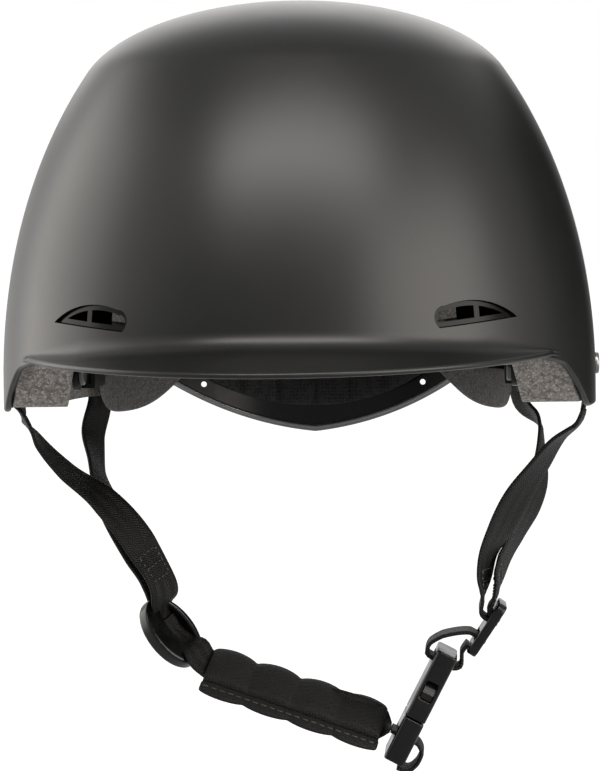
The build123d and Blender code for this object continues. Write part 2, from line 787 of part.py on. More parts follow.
dial_front = dial_back + dial_thickness
bore_end = dial_front - spindle_head_thickness - seat_gap
with BuildPart() as fit_dial:
    with BuildSketch(behind.offset(dial_back)):
        Circle(dial_radius)
    extrude(amount=dial_thickness)
    fillet(fit_dial.edges().filter_by(GeomType.CIRCLE), dial_round)
    with BuildSketch(behind.offset(dial_back)):
        with PolarLocations(dial_radius, dial_grips):
            Circle(dial_grip_radius)
        Circle(spindle_radius + running_gap)
    extrude(amount=dial_thickness, mode=Mode.SUBTRACT)
    with BuildSketch(behind.offset(bore_end)):
        Circle(spindle_head_radius + seat_gap)
    extrude(amount=dial_thickness, mode=Mode.SUBTRACT)
write_piece(fit_dial.part, "fit_dial")

with BuildPart() as dial_spindle:
    add(cylinder_along(behind, spindle_radius, tray_floor - housing_wall, bore_end + seat_gap / 2))
    add(cylinder_along(behind, spindle_head_radius, bore_end + seat_gap / 2, dial_front))
write_piece(dial_spindle.part, "dial_spindle")


# Webbing: flat sections along a route, each turned as the strap lies there
def webbing(places):
    """flat strap through (point, direction of its width) places"""
    points = [point for point, wide in places]
    runs = [(after - before).normalized() for before, after in zip(points, points[1:])]
    with BuildPart() as strap:
        for index, (point, wide) in enumerate(places):
            before, after = max(index - 1, 0), min(index + 1, len(points) - 1)
            along = (runs[before] + runs[after - 1]).normalized()
            across = wide - along * wide.dot(along)
            with BuildSketch(Plane(origin=point, x_dir=across, z_dir=along)):
                Rectangle(webbing_width, webbing_thickness)
        loft(ruled=True)
    return strap.part


def route(shares):
    """places of a strap's route below the shell, from its table of shares"""
    places = []
    for side, back, drop, turn in shares:
        point = Vector(side * half_width, back * strap_spread, -drop * chin_drop)
        places.append((point, Vector(sin(radians(turn)), cos(radians(turn)), 0)))
    return places


strap_middle = half_width - strap_depth - webbing_thickness / 2
strap_top = rivet_height + strap_end_margin
strap_bend = liner_bottom - 2 * webbing_thickness


def front_top(side):
    """flat stretch of a front strap between shell and liner"""
    return [(Vector(side * strap_middle, 0, z), Vector(0, 1, 0)) for z in (strap_top, strap_bend)]


def rear_top(side):
    """flat stretch of a rear strap in its slot in the liner"""
    across, middle = slot_plane.x_dir, slot_plane.origin
    wide = Vector(side * across.X, across.Y, 0)
    return [(Vector(side * middle.X, middle.Y, z), wide) for z in (strap_top, strap_bend)]


def strap(places, hole):
    """whole strap, with the hole that its rivet or plug passes"""
    with BuildPart() as whole:
        add(webbing(places))
        add(hole, mode=Mode.SUBTRACT)
    return whole.part


# Slider on the wearer's left: a plate with two slots and a bar between them
slider_side, slider_fall = slider_place_shares
slider_origin = Vector(slider_side * half_width, chin_back, -slider_fall * chin_drop)
slider_along = Vector(sin(radians(slider_lean)), 0, cos(radians(slider_lean)))
slider_plane = Plane(origin=slider_origin, x_dir=(0, 1, 0), z_dir=Vector(0, 1, 0).cross(slider_along))
slot_middle = (slider_bar + slider_slot) / 2
slot_length = webbing_width + 4 * seat_gap
with BuildPart() as strap_slider:
    with BuildSketch(slider_plane.offset(-slider_thickness / 2)):
        RectangleRounded(slider_width, slider_length, slider_round)
        with Locations((0, slot_middle), (0, -slot_middle)):
            Rectangle(slot_length, slider_slot, mode=Mode.SUBTRACT)
    extrude(amount=slider_thickness)
    fillet(strap_slider.edges().filter_by(GeomType.CIRCLE).filter_by(slider_plane), seat_gap)
write_piece(strap_slider.part, "strap_slider_left")


def through_slot(along, before, after):
    """places that take webbing straight through the slider, from its inner face outwards"""
    middle = slider_origin + slider_along * along
    inner, outer = -slider_thickness / 2 - before, slider_thickness / 2 + after
    return [(middle + slider_plane.z_dir * step, Vector(0, 1, 0)) for step in (inner, outer)]


stacked = (webbing_thickness + seat_gap) / 2
anchor_hole = cylinder_along(slot_plane, rivet_radius + running_gap, -anchor_length, anchor_length)
front_left = front_top(1) + route(front_route_left_shares)
front_left += through_slot(slot_middle - stacked, 2 * stacked + webbing_thickness, seat_gap)
rear_left = rear_top(1) + route(rear_route_left_shares)
rear_left += through_slot(slot_middle + stacked, webbing_thickness / 2, seat_gap)
front_right = front_top(-1) + route(front_route_right_shares)
rear_right = rear_top(-1) + route(rear_route_right_shares)
write_piece(strap(front_left, rivet_hole), "front_strap_left")
write_piece(strap(front_right, rivet_hole.mirror(Plane.YZ)), "front_strap_right")
write_piece(strap(rear_left, anchor_hole), "rear_strap_left")
write_piece(strap(rear_right, anchor_hole.mirror(Plane.YZ)), "rear_strap_right")

# Ring that joins the straps on the wearer's right
ring_side, ring_depth, ring_drop = ring_place_shares
ring_origin = Vector(ring_side * half_width, ring_depth * strap_spread, -ring_drop * chin_drop)
ring_along = Vector(cos(radians(ring_fall)), 0, -sin(radians(ring_fall)))
ring_out = Vector(sin(radians(ring_fall)), 0, cos(radians(ring_fall)))
ring_across = ring_out * sin(radians(ring_tilt)) + Vector(0, cos(radians(ring_tilt)), 0)
ring_plane = Plane(origin=ring_origin, x_dir=ring_along, z_dir=ring_along.cross(ring_across))
opening_low, opening_high = (ring_grip_share - 0.5) * ring_width, ring_width / 2 - ring_rim
with BuildPart() as strap_ring:
    with BuildSketch(ring_plane.offset(-ring_thickness / 2)):
        Ellipse(ring_length / 2, ring_width / 2)
        with Locations((0, (opening_low + opening_high) / 2)):
            Ellipse(
                ring_length / 2 - ring_end_share * ring_rim, (opening_high - opening_low) / 2,
                mode=Mode.SUBTRACT,
            )
    extrude(amount=ring_thickness)
    fillet(strap_ring.edges().filter_by(ring_plane), ring_edge_share * ring_rim)
write_piece(strap_ring.part, "strap_ring_right")

# Buckle's frame: out is away from the chin pad, along is up from the seam between its halves
buckle_side, buckle_drop = buckle_place_shares
buckle_origin = Vector(buckle_side * half_width, chin_back, -buckle_drop * chin_drop)
buckle_along = Vector(sin(radians(buckle_lean)), 0, cos(radians(buckle_lean)))
buckle_out = Vector(0, 1, 0).cross(buckle_along)
side_plane = Plane(origin=buckle_origin, x_dir=buckle_out, z_dir=(0, -1, 0))
front_plane = Plane(origin=buckle_origin, x_dir=(0, 1, 0), z_dir=buckle_out)

# Chin pad: a sleeve of puffs on the webbing, with a scalloped closing flap under it
left_side, left_drop = chin_pad_left_shares
right_side, right_drop = chin_pad_right_shares
pad_start = Vector(right_side * half_width, chin_back, -right_drop * chin_drop)
pad_end = Vector(left_side * half_width, chin_back, -left_drop * chin_drop)
pad_along = (pad_end - pad_start).normalized()
pad_length = (pad_end - pad_start).length
pad_up = Vector(-pad_along.Z, 0, pad_along.X)
pad_wide = Vector(0, cos(radians(chin_pad_tilt)), 0) + pad_up * sin(radians(chin_pad_tilt))


def pad_plane(distance):
    """plane across the chin pad: x to its upper edge, y to its outside"""
    return Plane(origin=pad_start + pad_along * distance, x_dir=pad_wide, z_dir=pad_along)


with BuildPart() as chin_pad:
    steps = chin_pad_puff_steps * chin_pad_puffs
    for index in range(steps + 1):
        puff = abs(sin(pi * index / chin_pad_puff_steps))
        swell = chin_pad_pinch_share + (1 - chin_pad_pinch_share) * puff
        half, deep = chin_pad_width / 2, swell * chin_pad_thickness / 2
        edge = chin_pad_edge_share * chin_pad_thickness
        with BuildSketch(pad_plane(index * pad_length / steps)):
            with BuildLine():
                Line((-half, -edge), (-half, edge))
                ThreePointArc((-half, edge), (0, deep), (half * swell, edge))
                ThreePointArc((half * swell, edge), (half * swell + edge, 0), (half * swell, -edge))
                ThreePointArc((half * swell, -edge), (0, -deep), (-half, -edge))
            make_face()
    loft(ruled=True)
    with BuildSketch(pad_plane(-overrun)):
        Rectangle(slot_length, webbing_thickness + 4 * seat_gap)
    extrude(amount=pad_length + 2 * overrun, mode=Mode.SUBTRACT)
write_piece(chin_pad.part, "chin_pad")

flap_step = pad_length / chin_pad_puffs
flap_plane = Plane(
    origin=pad_start - pad_wide * (chin_pad_width / 2 + seat_gap),
    x_dir=pad_along,
    z_dir=pad_along.cross(-pad_wide),
)
with BuildPart() as chin_pad_flap:
    with BuildSketch(flap_plane.offset(-flap_thickness / 2)):
        with BuildLine():
            Polyline((0, flap_width), (0, 0), (pad_length, 0), (pad_length, flap_width))
            for index in range(chin_pad_puffs):
                ThreePointArc(
                    (index * flap_step, flap_width),
                    ((index + 0.5) * flap_step, flap_width + flap_scallop),
                    ((index + 1) * flap_step, flap_width),
                )
        make_face()
    extrude(amount=flap_thickness)
write_piece(chin_pad_flap.part, "chin_pad_flap")

start_side, start_depth, start_drop = chin_webbing_start_shares
webbing_start = Vector(start_side * half_width, start_depth * strap_spread, -start_drop * chin_drop)
link_height = link_shares[0][1] * male_length
link_meet = -link_gap_share * buckle_thickness - seat_gap
meeting = side_plane.from_local_coords(Vector(link_meet, link_height, 0))
chin_places = [
    (webbing_start, ring_across),
    (pad_start - pad_along * 2 * webbing_thickness, pad_wide),
    (pad_start + pad_along * webbing_thickness, pad_wide),
    (pad_end, pad_wide),
    (meeting, Vector(0, 1, 0)),
]
write_piece(webbing(chin_places), "chin_webbing_right")


def folded_webbing(places):
    """webbing along a path drawn from the side of the buckle, its width along Y"""
    with BuildPart() as folded:
        with BuildSketch(side_plane):
            with BuildLine():
                FilletPolyline(*places, radius=webbing_thickness)
            trace(line_width=webbing_thickness)
        extrude(amount=webbing_width / 2, both=True)
    return folded.part


inner_face = -slider_thickness / 2
under_face = inner_face - webbing_thickness / 2 - seat_gap
slider_foot = (slot_middle + slider_slot / 2 + slider_length / 2) / 2
loop_ends = [
    slider_origin - slider_along * slot_middle + slider_plane.z_dir * (slider_thickness / 2 + seat_gap),
    slider_origin - slider_along * slot_middle + slider_plane.z_dir * (inner_face - 2 * webbing_thickness),
    slider_origin - slider_along * slider_foot + slider_plane.z_dir * under_face,
]
outer_end, inner_end, lower_end = [side_plane.to_local_coords(end) for end in loop_ends]
loop_places = [(outer_end.X, outer_end.Y), (inner_end.X, inner_end.Y)]
loop_places += [(out * buckle_thickness, along * female_length) for out, along in loop_shares]
loop_places += [(lower_end.X, lower_end.Y)]
write_piece(folded_webbing(loop_places), "buckle_loop_webbing")
link_places = [(-link_gap_share * buckle_thickness, link_height)]
link_places += [(out * buckle_thickness, along * male_length) for out, along in link_shares[1:]]
write_piece(folded_webbing(link_places), "buckle_link_webbing")


def buckle_block(low, high, width, thickness, rounding):
    """block along the buckle's axis, between two distances from the seam"""
    with BuildPart() as block:
        across = Plane(origin=buckle_origin + buckle_along * low, x_dir=(0, 1, 0), z_dir=buckle_along)
        with BuildSketch(across):
            if rounding:
                RectangleRounded(width, thickness, rounding)
            else:
                Rectangle(width, thickness)
        extrude(amount=high - low)
    return block.part


# Side-release buckle: a socket with side windows, and a plug with a tongue
channel = buckle_thickness - 2 * buckle_wall
inner_half = prong_spread + seat_gap
window_end = prong_length + seat_gap
slot_top = female_length - female_bar
with BuildPart() as buckle_female:
    add(buckle_block(seat_gap / 2, female_length, buckle_width, buckle_thickness, buckle_round))
    add(buckle_block(0, window_end, 2 * inner_half, channel, 0), mode=Mode.SUBTRACT)
    add(buckle_block(mouth_length, window_end, 2 * buckle_width, channel, 0), mode=Mode.SUBTRACT)
    add(buckle_block(slot_top - buckle_slot, slot_top, slot_length, overrun, 0), mode=Mode.SUBTRACT)
write_piece(buckle_female.part, "buckle_female")

slot_bottom = -male_length + male_bar
with BuildPart() as buckle_male:
    add(buckle_block(-male_length, -seat_gap / 2, buckle_width, buckle_thickness, buckle_round))
    add(buckle_block(-seat_gap, tongue_length, tongue_width, channel - 2 * seat_gap, 0))
    add(buckle_block(slot_bottom, slot_bottom + buckle_slot, slot_length, overrun, 0), mode=Mode.SUBTRACT)
write_piece(buckle_male.part, "buckle_male")

hook_start = mouth_length + seat_gap
prong_in, hook_out = prong_spread - prong_width, prong_spread + prong_hook
with BuildPart() as buckle_prongs:
    with BuildSketch(front_plane.offset(seat_gap - channel / 2)):
        Polygon(
            (prong_in, -seat_gap / 2), (prong_spread, -seat_gap / 2),
            (prong_spread, hook_start), (hook_out, hook_start), (hook_out, hook_start + prong_hook),
            (prong_spread - seat_gap, prong_length), (prong_in, prong_length),
            align=None,
        )
        mirror(about=Plane.YZ)
    extrude(amount=channel - 2 * seat_gap)
write_piece(buckle_prongs.part, "buckle_prongs")
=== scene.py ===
import bmesh
import bpy
import numpy as np
from math import asin, cos, hypot, pi, radians, sin, sqrt, tan
from mathutils import Matrix, Vector


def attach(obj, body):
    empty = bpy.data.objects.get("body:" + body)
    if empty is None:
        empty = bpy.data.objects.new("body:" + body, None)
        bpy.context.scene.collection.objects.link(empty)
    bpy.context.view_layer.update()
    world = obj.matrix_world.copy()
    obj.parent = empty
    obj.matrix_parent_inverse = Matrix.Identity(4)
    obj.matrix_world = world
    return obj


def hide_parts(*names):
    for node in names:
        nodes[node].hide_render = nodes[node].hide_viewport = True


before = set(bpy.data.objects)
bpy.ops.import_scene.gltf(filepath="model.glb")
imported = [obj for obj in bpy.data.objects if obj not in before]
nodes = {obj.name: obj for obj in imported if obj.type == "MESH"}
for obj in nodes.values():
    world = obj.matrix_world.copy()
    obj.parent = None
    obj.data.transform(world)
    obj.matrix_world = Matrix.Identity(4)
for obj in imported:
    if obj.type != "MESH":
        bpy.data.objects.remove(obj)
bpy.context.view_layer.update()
millimetre = 0.001  # shapes below are worked out in millimetres


def newObject(name, data):
    thing = bpy.data.objects.new(name, data)
    bpy.context.scene.collection.objects.link(thing)
    return thing


def addNode(tree, kind, settings=None, **inputs):
    # a node, with its settings, and each input set to a value or joined to a socket; i0, i1 and so on are its numbers
    node = tree.nodes.new("ShaderNode" + kind)
    for key, value in (settings or {}).items():
        setattr(node, key, value)
    for key, value in inputs.items():
        numbered = key[0] == "i" and key[1:].isdigit()
        socket = node.inputs[int(key[1:]) if numbered else key.replace("_", " ")]
        if isinstance(value, bpy.types.NodeSocket):
            tree.links.new(value, socket)
        else:
            socket.default_value = value
    return node


def mathNode(tree, operation, first, second=0.0, third=0.0):
    return addNode(tree, "Math", {"operation": operation}, i0=first, i1=second, i2=third).outputs[0]


def rangeNode(tree, value, **limits):
    return addNode(tree, "MapRange", Value=value, **limits).outputs[0]


def noiseNode(tree, place, scale, detail, roughness=0.5):
    return addNode(tree, "TexNoise", Vector=place, Scale=scale, Detail=detail, Roughness=roughness).outputs[0]


def mixNode(tree, share, first, second):
    return addNode(tree, "Mix", {"data_type": "RGBA"}, i0=share, i6=first, i7=second).outputs[2]


cameraSettings = {"place": (0.061, -0.998, 0.0555), "yaw": 3.5, "pitch": -2.78, "roll": -0.8, "lens": 129.0}
yaw, pitch, roll = (radians(cameraSettings[key]) for key in ("yaw", "pitch", "roll"))
cameraData = bpy.data.cameras.new("camera")
cameraData.lens = cameraSettings["lens"]
camera = newObject("camera", cameraData)
lookAlong = Vector((-sin(yaw) * cos(pitch), cos(yaw) * cos(pitch), sin(pitch)))
toRight = Vector((cos(yaw), sin(yaw), 0))
toTop = toRight.cross(lookAlong)
turned = Matrix((toRight, toTop, -lookAlong)).transposed() @ Matrix.Rotation(roll, 3, "Z")
camera.matrix_world = Matrix.Translation(cameraSettings["place"]) @ turned.to_4x4()
bpy.context.scene.camera = camera
bpy.context.scene.view_settings.view_transform = "Standard"


def lightPathWhite(tree, white, other):
    # white is the strength for the camera, gloss and glass, other for the light on the object
    path = addNode(tree, "LightPath").outputs
    seen = mathNode(tree, "MAXIMUM", path["Is Camera Ray"], path["Is Glossy Ray"])
    seen = mathNode(tree, "MAXIMUM", seen, path["Is Transmission Ray"])
    return rangeNode(tree, seen, To_Min=other, To_Max=white)


world = bpy.data.worlds.new("studio")
bpy.context.scene.world = world
world.use_nodes = True
sky = world.node_tree.nodes["Background"]
sky.inputs["Color"].default_value = (1, 1, 1, 1)
world.node_tree.links.new(lightPathWhite(world.node_tree, 1.0, 0.55), sky.inputs["Strength"])


def stageBoard(name, materialName, corners, colour, roughness):
    # a flat four-cornered board of the stage, with a plain shader that doesn't shine
    mesh = bpy.data.meshes.new(name)
    mesh.from_pydata(corners, [], [(0, 1, 2, 3)])
    material = bpy.data.materials.new(materialName)
    material.use_nodes = True
    shader = material.node_tree.nodes["Principled BSDF"]
    shader.inputs["Base Color"].default_value = colour
    shader.inputs["Roughness"].default_value = roughness
    shader.inputs["Specular IOR Level"].default_value = 0.0
    mesh.materials.append(material)
    return newObject(name, mesh), material.node_tree, shader


floorSettings = {"height": -0.30, "reach": 40.0, "colour": (0.86, 0.86, 0.86, 1), "glow": 0.62}
reach, level = floorSettings["reach"], floorSettings["height"]
floor, tree, shader = stageBoard(
    "floor", "paleFloor", [(x * reach, y * reach, level) for x, y in ((-1, -1), (1, -1), (1, 1), (-1, 1))],
    floorSettings["colour"], 0.9,
)
shader.inputs["Emission Color"].default_value = (1, 1, 1, 1)
tree.links.new(lightPathWhite(tree, floorSettings["glow"], 0.0), shader.inputs["Emission Strength"])

# name: azimuth and elevation seen from the helmet's middle, distance, width, height, watts, colour, and whether
# it is a card that only gloss sees
softboxes = {
    "fillLeft": (-70, 25, 1.6, 1.2, 1.2, 6, (1.0, 0.975, 0.95), False),
    "fillRight": (60, 20, 1.6, 1.2, 1.2, 5, (1.0, 0.975, 0.95), False),
    "stripLeft": (-105, 8, 1.3, 1.05, 1.5, 24, (1.0, 0.95, 0.90), True),
    "windowRight": (60, 5, 1.6, 1.5, 1.5, 74, (1.0, 0.945, 0.89), True),
    "windowTop": (4, 49, 1.5, 1.7, 0.42, 56, (1.0, 0.97, 0.94), True),
    "windowBack": (180, 28, 1.6, 1.8, 0.8, 8, (1.0, 0.98, 0.96), True),
}
for name, (azimuth, elevation, distance, wide, high, watts, colour, card) in softboxes.items():
    lamp = bpy.data.lights.new(name, "AREA")
    lamp.shape = "RECTANGLE"
    lamp.size, lamp.size_y, lamp.energy, lamp.color = wide, high, watts, colour
    box = newObject(name, lamp)
    azimuth, elevation = radians(azimuth), radians(elevation)
    away = Vector((sin(azimuth) * cos(elevation), -cos(azimuth) * cos(elevation), sin(elevation)))
    box.location = Vector((0, 0, 0.05)) + away * distance
    box.rotation_euler = away.to_track_quat("Z", "Y").to_euler()
    box.visible_diffuse = not card

# a dark flag behind the helmet's left side, which only gloss sees
flagSettings = {"azimuth": 139, "distance": 1.5, "wide": 1.25, "high": 1.7, "level": 0.0}
turn = radians(flagSettings["azimuth"])
away, beside = Vector((sin(turn), -cos(turn), 0)), Vector((cos(turn), sin(turn), 0))
middle = away * flagSettings["distance"] + Vector((0, 0, flagSettings["level"]))
half, tall = beside * flagSettings["wide"] / 2, Vector((0, 0, flagSettings["high"] / 2))
flag, _, _ = stageBoard(
    "flag", "darkFlag", [middle - half - tall, middle + half - tall, middle + half + tall, middle - half + tall],
    (0.004, 0.004, 0.004, 1), 0.5,
)
flag.visible_camera = flag.visible_diffuse = flag.visible_shadow = flag.visible_transmission = False
print("camera, floor and light are in place")


def grey(value):
    return (value, value, value, 1)


def newGroup(name, inputs):
    # a shader node group with named sockets: coordinates and values in; a colour, a roughness and a height out
    group = bpy.data.node_groups.new(name, "ShaderNodeTree")
    group.interface.new_socket("Coordinates", in_out="INPUT", socket_type="NodeSocketVector")
    for socketName, value in inputs.items():
        kind = "NodeSocketColor" if isinstance(value, tuple) else "NodeSocketFloat"
        group.interface.new_socket(socketName, in_out="INPUT", socket_type=kind).default_value = value
    for socketName, kind in (("Colour", "Color"), ("Roughness", "Float"), ("Height", "Float")):
        group.interface.new_socket(socketName, in_out="OUTPUT", socket_type="NodeSocket" + kind)
    given = group.nodes.new("NodeGroupInput").outputs
    return group, given, given["Coordinates"]


def putOut(group, colour, roughness, height):
    end = group.nodes.new("NodeGroupOutput").inputs
    for socketName, value in (("Colour", colour), ("Roughness", roughness), ("Height", height)):
        group.links.new(value, end[socketName])


# grain: fine pits at one scale, handling marks at another
grainGroup, given, place = newGroup("mouldedGrain", {
    "Grain": 1500.0, "Marks": 30.0, "Base": grey(0.02), "Worn": grey(0.03), "Smooth": 0.3, "Rough": 0.4,
})
fine = noiseNode(grainGroup, place, given["Grain"], 2.0, 0.6)
marks = noiseNode(grainGroup, place, given["Marks"], 5.0, 0.62)
patches = rangeNode(grainGroup, marks, From_Min=0.38, From_Max=0.66)
mixed = mixNode(grainGroup, patches, given["Base"], given["Worn"])
putOut(grainGroup, mixed, rangeNode(grainGroup, patches, To_Min=given["Smooth"], To_Max=given["Rough"]), fine)

# webbing: two rows of slanted threads that meet in a herringbone, over fine cords that run along it; the coordinates
# are a UV in millimetres
weaveGroup, given, place = newGroup("wovenWebbing", {
    "Pitch": 1.15, "Rib": 2.5, "Thread": grey(0.03), "Shadow": grey(0.005),
})
across, along = addNode(weaveGroup, "SeparateXYZ", Vector=place).outputs[:2]
fold = mathNode(weaveGroup, "PINGPONG", across, given["Rib"])
slanted = mathNode(weaveGroup, "ADD", mathNode(weaveGroup, "MULTIPLY", fold, 0.9), along)
turns = mathNode(weaveGroup, "DIVIDE", slanted, given["Pitch"])
thread = mathNode(weaveGroup, "SINE", mathNode(weaveGroup, "MULTIPLY", turns, 2 * pi))
cordSide = mathNode(weaveGroup, "SINE", mathNode(weaveGroup, "MULTIPLY", across, 2 * pi / 0.9))
height = mathNode(weaveGroup, "MULTIPLY_ADD", thread, 0.35, 0.5)
height = mathNode(weaveGroup, "MULTIPLY_ADD", cordSide, 0.12, height)
height = mathNode(weaveGroup, "MULTIPLY_ADD", noiseNode(weaveGroup, place, 3.0, 3.0), 0.25, height)
tone = mixNode(weaveGroup, height, given["Shadow"], given["Thread"])
putOut(weaveGroup, tone, rangeNode(weaveGroup, height, To_Min=0.75, To_Max=0.5), height)

# knit: small round loops with an opening between them, as on spacer mesh; the openings are painted dark, as shade
knitGroup, given, place = newGroup("knitMesh", {"Loops": 720.0, "Yarn": grey(0.03), "ShadedHollow": grey(0.004)})
loops = addNode(knitGroup, "TexVoronoi", Vector=place, Scale=given["Loops"], Randomness=0.35)
yarn = rangeNode(knitGroup, loops.outputs["Distance"], From_Min=0.12, From_Max=0.5)
height = mathNode(knitGroup, "MULTIPLY_ADD", noiseNode(knitGroup, place, 260.0, 4.0), 0.3, yarn)
# painted shade: the openings between the loops take the dark colour
tone = mixNode(knitGroup, yarn, given["ShadedHollow"], given["Yarn"])
putOut(knitGroup, tone, rangeNode(knitGroup, yarn, To_Min=0.95, To_Max=0.7), height)

# beads: the fused beads of the foam liner, each a little lighter or darker, with pits where they meet; the pits are
# also painted darker, as shade
beadGroup, given, place = newGroup("fusedBeads", {
    "Beads": 1150.0, "Light": (0.54, 0.495, 0.45, 1), "Dark": (0.035, 0.034, 0.033, 1),
})
cells = addNode(beadGroup, "TexVoronoi", Vector=place, Scale=given["Beads"])
edges = addNode(beadGroup, "TexVoronoi", {"feature": "DISTANCE_TO_EDGE"}, Vector=place, Scale=given["Beads"])
speck = addNode(beadGroup, "SeparateColor", Color=cells.outputs["Color"]).outputs[0]
crowned = rangeNode(beadGroup, edges.outputs["Distance"], From_Min=0.0, From_Max=0.12)
dust = mathNode(beadGroup, "MULTIPLY", noiseNode(beadGroup, place, 900.0, 3.0), 0.5)
shade = mathNode(beadGroup, "MULTIPLY_ADD", speck, 0.55, dust)
# painted shade: the colour darkens towards each bead's edge, in the pits where the beads meet
shade = mathNode(beadGroup, "MULTIPLY", shade, mathNode(beadGroup, "MULTIPLY_ADD", crowned, 0.55, 0.45))
tone = mixNode(beadGroup, shade, given["Dark"], given["Light"])
putOut(beadGroup, tone, rangeNode(beadGroup, crowned, To_Min=0.9, To_Max=0.62), crowned)


def finish(name, group, values, bump, shader):
    # a material: the effect's colour, roughness and height on a Principled shader; the weave lies on the webbing's UV
    material = bpy.data.materials.new(name)
    material.use_nodes = True
    tree = material.node_tree
    principled = tree.nodes["Principled BSDF"]
    for key, value in shader.items():
        principled.inputs[key].default_value = value
    effect = tree.nodes.new("ShaderNodeGroup")
    effect.node_tree = group
    for key, value in values.items():
        effect.inputs[key].default_value = value
    place = addNode(tree, "TexCoord").outputs["UV" if group is weaveGroup else "Object"]
    tree.links.new(place, effect.inputs["Coordinates"])
    tree.links.new(effect.outputs["Colour"], principled.inputs["Base Color"])
    tree.links.new(effect.outputs["Roughness"], principled.inputs["Roughness"])
    relief = addNode(tree, "Bump", Strength=bump[0], Distance=bump[1], Height=effect.outputs["Height"])
    tree.links.new(relief.outputs["Normal"], principled.inputs["Normal"])
    return material


gloss, sheen = "Specular IOR Level", "Sheen Weight"
# moulded finishes: grain, marks, base and worn colours, lowest and highest roughness, bump, the shader's own values
mouldedSettings = {
    "satinShell": (2600.0, 14.0, (0.0075, 0.0072, 0.0068, 1), (0.0095, 0.0092, 0.0088, 1), 0.36, 0.40,
                   (0.04, 0.0001), {gloss: 0.17}),
    "glossTrim": (400.0, 60.0, grey(0.001), grey(0.002), 0.16, 0.22, (0.02, 0.0001), {gloss: 0.06}),
    "rivetMetal": (1800.0, 200.0, grey(0.07), (0.16, 0.155, 0.15, 1), 0.22, 0.42, (0.08, 0.0001), {"Metallic": 0.9}),
    "anchorPlastic": (1500.0, 90.0, grey(0.018), grey(0.03), 0.34, 0.5, (0.1, 0.0001), {}),
    "cradlePlastic": (1700.0, 50.0, grey(0.003), grey(0.005), 0.26, 0.36, (0.09, 0.00012), {gloss: 0.1}),
    # the lip's base and worn colours are light grey: a painted highlight on what is the cradle's black plastic
    "lipPaintedHighlight": (1700.0, 50.0, (0.08, 0.08, 0.082, 1), (0.11, 0.11, 0.112, 1), 0.22, 0.32, (0.05, 0.0001),
                   {gloss: 0.6}),
    "dialPlastic": (1300.0, 80.0, grey(0.010), grey(0.025), 0.3, 0.45, (0.12, 0.00012), {}),
    "hardwarePlastic": (900.0, 70.0, grey(0.003), grey(0.006), 0.2, 0.34, (0.05, 0.0001), {gloss: 0.14}),
    "thread": (6000.0, 900.0, grey(0.010), (0.022, 0.022, 0.021, 1), 0.45, 0.6, (0.2, 0.0001), {sheen: 0.1}),
}
# the others: effect, its values, bump and the shader's own values
otherSettings = {
    "wingPlastic": (beadGroup, {"Beads": 1500.0, "Light": (0.24, 0.225, 0.21, 1), "Dark": grey(0.02)},
                    (0.15, 0.0002), {gloss: 0.3}),
    "foamBeads": (beadGroup, {}, (0.35, 0.0003), {gloss: 0.25}),
    "webbing": (weaveGroup, {"Thread": (0.0082, 0.0078, 0.0074, 1), "Shadow": grey(0.0012)}, (0.7, 0.00025),
                {gloss: 0.12}),
    "padFabric": (knitGroup, {"Yarn": (0.006, 0.006, 0.0062, 1)}, (0.6, 0.0004), {sheen: 0.04, gloss: 0.2}),
    "chinFabric": (knitGroup, {"Loops": 900.0, "Yarn": (0.0075, 0.0073, 0.007, 1)}, (0.7, 0.0003),
                   {sheen: 0.03, gloss: 0.14}),
    "hookTape": (knitGroup, {"Loops": 1100.0, "Yarn": grey(0.035)}, (0.8, 0.0003), {gloss: 0.3}),
}
finishes = {name: finish(name, *settings) for name, settings in otherSettings.items()}
for name, (*values, bump, shader) in mouldedSettings.items():
    values = dict(zip(("Grain", "Marks", "Base", "Worn", "Smooth", "Rough"), values))
    finishes[name] = finish(name, grainGroup, values, bump, shader)

nodeFinishes = {
    "glossTrim": (
        "front_vent_insert_left", "front_vent_insert_right", "rear_vent_insert_left", "rear_vent_insert_right",
    ),
    "rivetMetal": ("strap_rivets", "rivet_washers", "cover_screws", "dial_spindle"),
    "anchorPlastic": ("rear_strap_anchors", "arm_pin_left", "arm_pin_right"),
    "cradlePlastic": ("cradle_arm_left", "cradle_arm_right", "cradle_yoke", "dial_housing_cover"),
    "dialPlastic": ("fit_dial", "dial_pinion", "rack_left", "rack_right"),
    "hardwarePlastic": ("strap_ring_right", "strap_slider_left", "buckle_female", "buckle_male", "buckle_prongs"),
    "foamBeads": ("eps_liner",),
    "hookTape": ("hook_dots",),
}
for finishName, names in nodeFinishes.items():
    for name in names:
        node = nodes[name]
        if not node.material_slots:
            node.data.materials.append(finishes[finishName])
        for place in node.material_slots:
            place.material = finishes[finishName]
print("finishes are made")


def unit(vectors):
    return vectors / np.linalg.norm(vectors, axis=-1, keepdims=True)


def power(value, exponent):
    return np.sign(value) * np.abs(value) ** exponent


def circle(count):
    return np.linspace(0, 2 * pi, count, endpoint=False)[None, :]


def dip(distance, width):
    return np.exp(-((distance / width) ** 2))


def fadeOut(share, exponent):
    # 1 in the middle, falling to 0 where the share reaches 1 either way
    return np.clip(1 - np.abs(share) ** exponent, 0, 1) ** 0.5


def arcSteps(line):
    # how far along a line each of its points is
    return np.concatenate([[0], np.cumsum(np.linalg.norm(np.diff(line, axis=0), axis=1))])


def bentCurve(start, corner, end, t):
    return start * (1 - t) ** 2 + 2 * corner * t * (1 - t) + end * t**2


